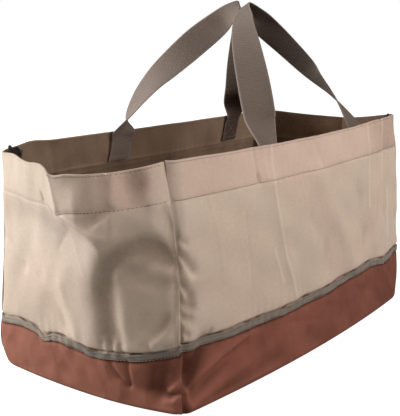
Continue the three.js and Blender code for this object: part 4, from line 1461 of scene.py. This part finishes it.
def stitchMesh(name, rows, material):
    # rows hold points, directions, normals, pitch and radius; every bar is the same grid turned into place
    bar, barQuads = closedTube(threadBar())
    placed = []
    for points, forward, normals, pitch, radius in rows:
        forward = unit(forward)
        normals = unit(normals - forward * np.sum(normals * forward, -1, keepdims=True))
        sideways = np.cross(normals, forward)
        half = pitch * stitch["share"] / 2
        bars = points[:, None] + forward[:, None] * (bar[None, :, :1] * half)
        bars = bars + sideways[:, None] * (bar[None, :, 1:2] * radius)
        placed.append(bars + normals[:, None] * (bar[None, :, 2:] * radius))
    placed = np.concatenate(placed)
    count = len(placed)
    quads = (barQuads[None] + (np.arange(count) * len(bar))[:, None, None]).reshape(-1, 4)
    uv = np.tile(bar[:, :2] * 2 * mm, (count, 1))
    addPiece(name, placed.reshape(-1, 3), quads, uv, material, {})
    print(name, count, "stitches")


def sideRow(side, height, lift, look, sinks=True):
    # stitches along one side at a cloth height, lifted off its outer face, or off its inner face below 0
    wide = shell["width"][side]
    room = look.get("endRoom", stitch["endRoom"])
    count = int((wide - 2 * room) / look["pitch"])
    s = (room + (np.arange(count) + 0.5) * (wide - 2 * room) / count) / wide
    t = height + look.get("stray", 0.0) * np.sin(np.arange(count) * stitch["strayTurn"])
    facing = np.sign(lift)
    if sinks and side == "left":
        lift = lift - facing * stitch["sunk"] * smoothRun(s, stitch["sunkPlaces"])
    ds = 0.5 / wide
    points = offPoint(side, s, t, lift)
    before = offPoint(side, np.clip(s - ds, 0, 1), t, lift)
    forward = offPoint(side, np.clip(s + ds, 0, 1), t, lift) - before
    return points, forward, shellNormal(side, s, t) * facing, look["pitch"], look["radius"]


def strapRows(look):
    # box and cross on each sewn end: lines between corners of the box, on the strap's inner face
    rows = []
    low, high = look["along"]
    out = look["across"]
    corners = np.array(((low, -out), (low, out), (high, out), (high, -out)))
    lines = ((0, 1), (1, 2), (2, 3), (3, 0), (0, 2), (1, 3))
    steps = np.linspace(0, 1, look["count"])[:, None]
    for handle in handles.values():
        stations = strapStations(handle)
        inward = np.array([0, 1.0 if handle["side"] == "front" else -1.0, 0])
        for flip in (False, True):
            for a, b in lines:
                mix = corners[a] * (1 - steps) + corners[b] * steps
                along = 1 - mix[:, 0] if flip else mix[:, 0]
                points, normals = strapFrame(stations, along, mix[:, 1])
                normals = normals * np.sign(normals @ inward)[:, None]
                forward = np.gradient(points, axis=0)
                pitch = float(np.mean(np.linalg.norm(np.diff(points, axis=0), axis=1)))
                points = points + normals * (web["thick"] / 2 + stitch["lift"])
                rows.append((points, forward, normals, pitch, look["radius"]))
    return rows


hemLifts = (stitch["lift"], -2 * panel["hemFold"] - stitch["lift"])
rimStitchLine = shell["rimLine"] - stitch["rim"]["below"]
hemRows = [sideRow(side, shell["hemLine"], lift, stitch["hem"]) for side in sideNames for lift in hemLifts]
rimRows = [sideRow(side, rimStitchLine, lift, stitch["rim"]) for side in sideNames for lift in hemLifts]
tapeRows = [
    sideRow(side, shell["tapeLine"] + at, stitch["tape"]["lift"], stitch["tape"], False)
    for side in sideNames for at in stitch["tape"]["rows"]
]
stitchMesh("hem_stitches", hemRows, materials["threadBrown"])
stitchMesh("rim_stitches", rimRows, materials["threadBrown"])
stitchMesh("tape_stitches", tapeRows, materials["threadGrey"])
stitchMesh("strap_stitches", strapRows(stitch["strap"]), materials["threadGrey"])


# floor, light and camera

stage = {
    "floor": 60.0,  # metres
    "floorDrop": 0.0005,
    "floorColour": (0.42, 0.418, 0.415, 1),
    "floorRough": 0.9,
    "floorShine": 0.1,
    "floorGlow": 1.0,  # seen by the camera alone, as is the backdrop
    "sky": 0.1,
    "backdrop": 1.0,
}


def makeFloor():
    # one square just under the bag, glowing for the camera alone
    half = stage["floor"] / 2
    corners = [(x * half, y * half, -stage["floorDrop"]) for x, y in ((-1, -1), (1, -1), (1, 1), (-1, 1))]
    mesh = bpy.data.meshes.new("floor")
    mesh.from_pydata(corners, [], [(0, 1, 2, 3)])
    material = bpy.data.materials.new("paleFloor")
    material.use_nodes = True
    tree = material.node_tree
    shader = tree.nodes["Principled BSDF"]
    shader.inputs["Base Color"].default_value = stage["floorColour"]
    shader.inputs["Roughness"].default_value = stage["floorRough"]
    shader.inputs["Specular IOR Level"].default_value = stage["floorShine"]
    shader.inputs["Emission Color"].default_value = (1, 1, 1, 1)
    seen = nodeIn(tree, "ShaderNodeLightPath").outputs["Is Camera Ray"]
    tree.links.new(mathIn(tree, "MULTIPLY", seen, stage["floorGlow"]), shader.inputs["Emission Strength"])
    mesh.materials.append(material)
    floor = bpy.data.objects.new("floor", mesh)
    bpy.context.scene.collection.objects.link(floor)


def makeSky():
    # a dim white sky, brighter where the camera sees it
    world = bpy.data.worlds.new("studio")
    bpy.context.scene.world = world
    world.use_nodes = True
    tree = world.node_tree
    sky = tree.nodes["Background"]
    sky.inputs["Color"].default_value = (1, 1, 1, 1)
    seen = nodeIn(tree, "ShaderNodeLightPath").outputs["Is Camera Ray"]
    strength = mathIn(tree, "MULTIPLY_ADD", seen, stage["backdrop"] - stage["sky"], stage["sky"])
    tree.links.new(strength, sky.inputs["Strength"])


# place and aim in metres, size, watts, colour
lamps = {
    "leftSoftbox": ((-1.35, 2.2, 1.15), (0, 0, 0.15), 0.8, 106.0, (0.97, 0.99, 1.0)),
    "frontSoftbox": ((1.5, -2.1, 1.3), (0, 0, 0.2), 1.2, 48.0, (1.0, 0.96, 0.945)),
    "fillSoftbox": ((-0.9, -0.9, 2.3), (0, 0, 0.15), 1.4, 23.0, (1.0, 0.94, 0.9)),
    "topSoftbox": ((-0.6, 0.2, 2.4), (0, 0, 0.2), 1.4, 4.0, (1.0, 1.0, 1.0)),
}


def makeLamp(name, place, aim, size, watts, colour):
    # a square light turned to its aim
    light = bpy.data.lights.new(name, "AREA")
    light.color = colour
    light.size = size
    light.energy = watts
    lamp = bpy.data.objects.new(name, light)
    lamp.location = place
    lamp.rotation_euler = (Vector(aim) - Vector(place)).to_track_quat("-Z", "Y").to_euler()
    bpy.context.scene.collection.objects.link(lamp)


camera = {
    "place": (-979.1, -673.2, 393.0),  # mm, before the shift to the frame's origin
    "tilt": 78.76,  # degrees from straight down, then about the vertical
    "turn": -54.14,
    "focalPixels": 918.6,
    "tallPixels": 416,
    "sensor": 36.0,
    "clip": (0.05, 60),  # metres
}


def makeCamera():
    # focal length is the sensor times the focal pixels over the picture's taller side
    data = bpy.data.cameras.new("photoView")
    data.sensor_width = camera["sensor"]
    data.lens = camera["sensor"] * camera["focalPixels"] / camera["tallPixels"]
    data.clip_start, data.clip_end = camera["clip"]
    view = bpy.data.objects.new("photoView", data)
    view.location = ((np.array(camera["place"]) + frameShift) * mm).tolist()
    view.rotation_euler = Euler(np.radians([camera["tilt"], 0, camera["turn"]]).tolist())
    bpy.context.scene.collection.objects.link(view)
    bpy.context.scene.camera = view


makeFloor()
makeSky()
for name, values in lamps.items():
    makeLamp(name, *values)
makeCamera()
bpy.context.scene.view_settings.view_transform = "Standard"
print("floor, lights and camera made")
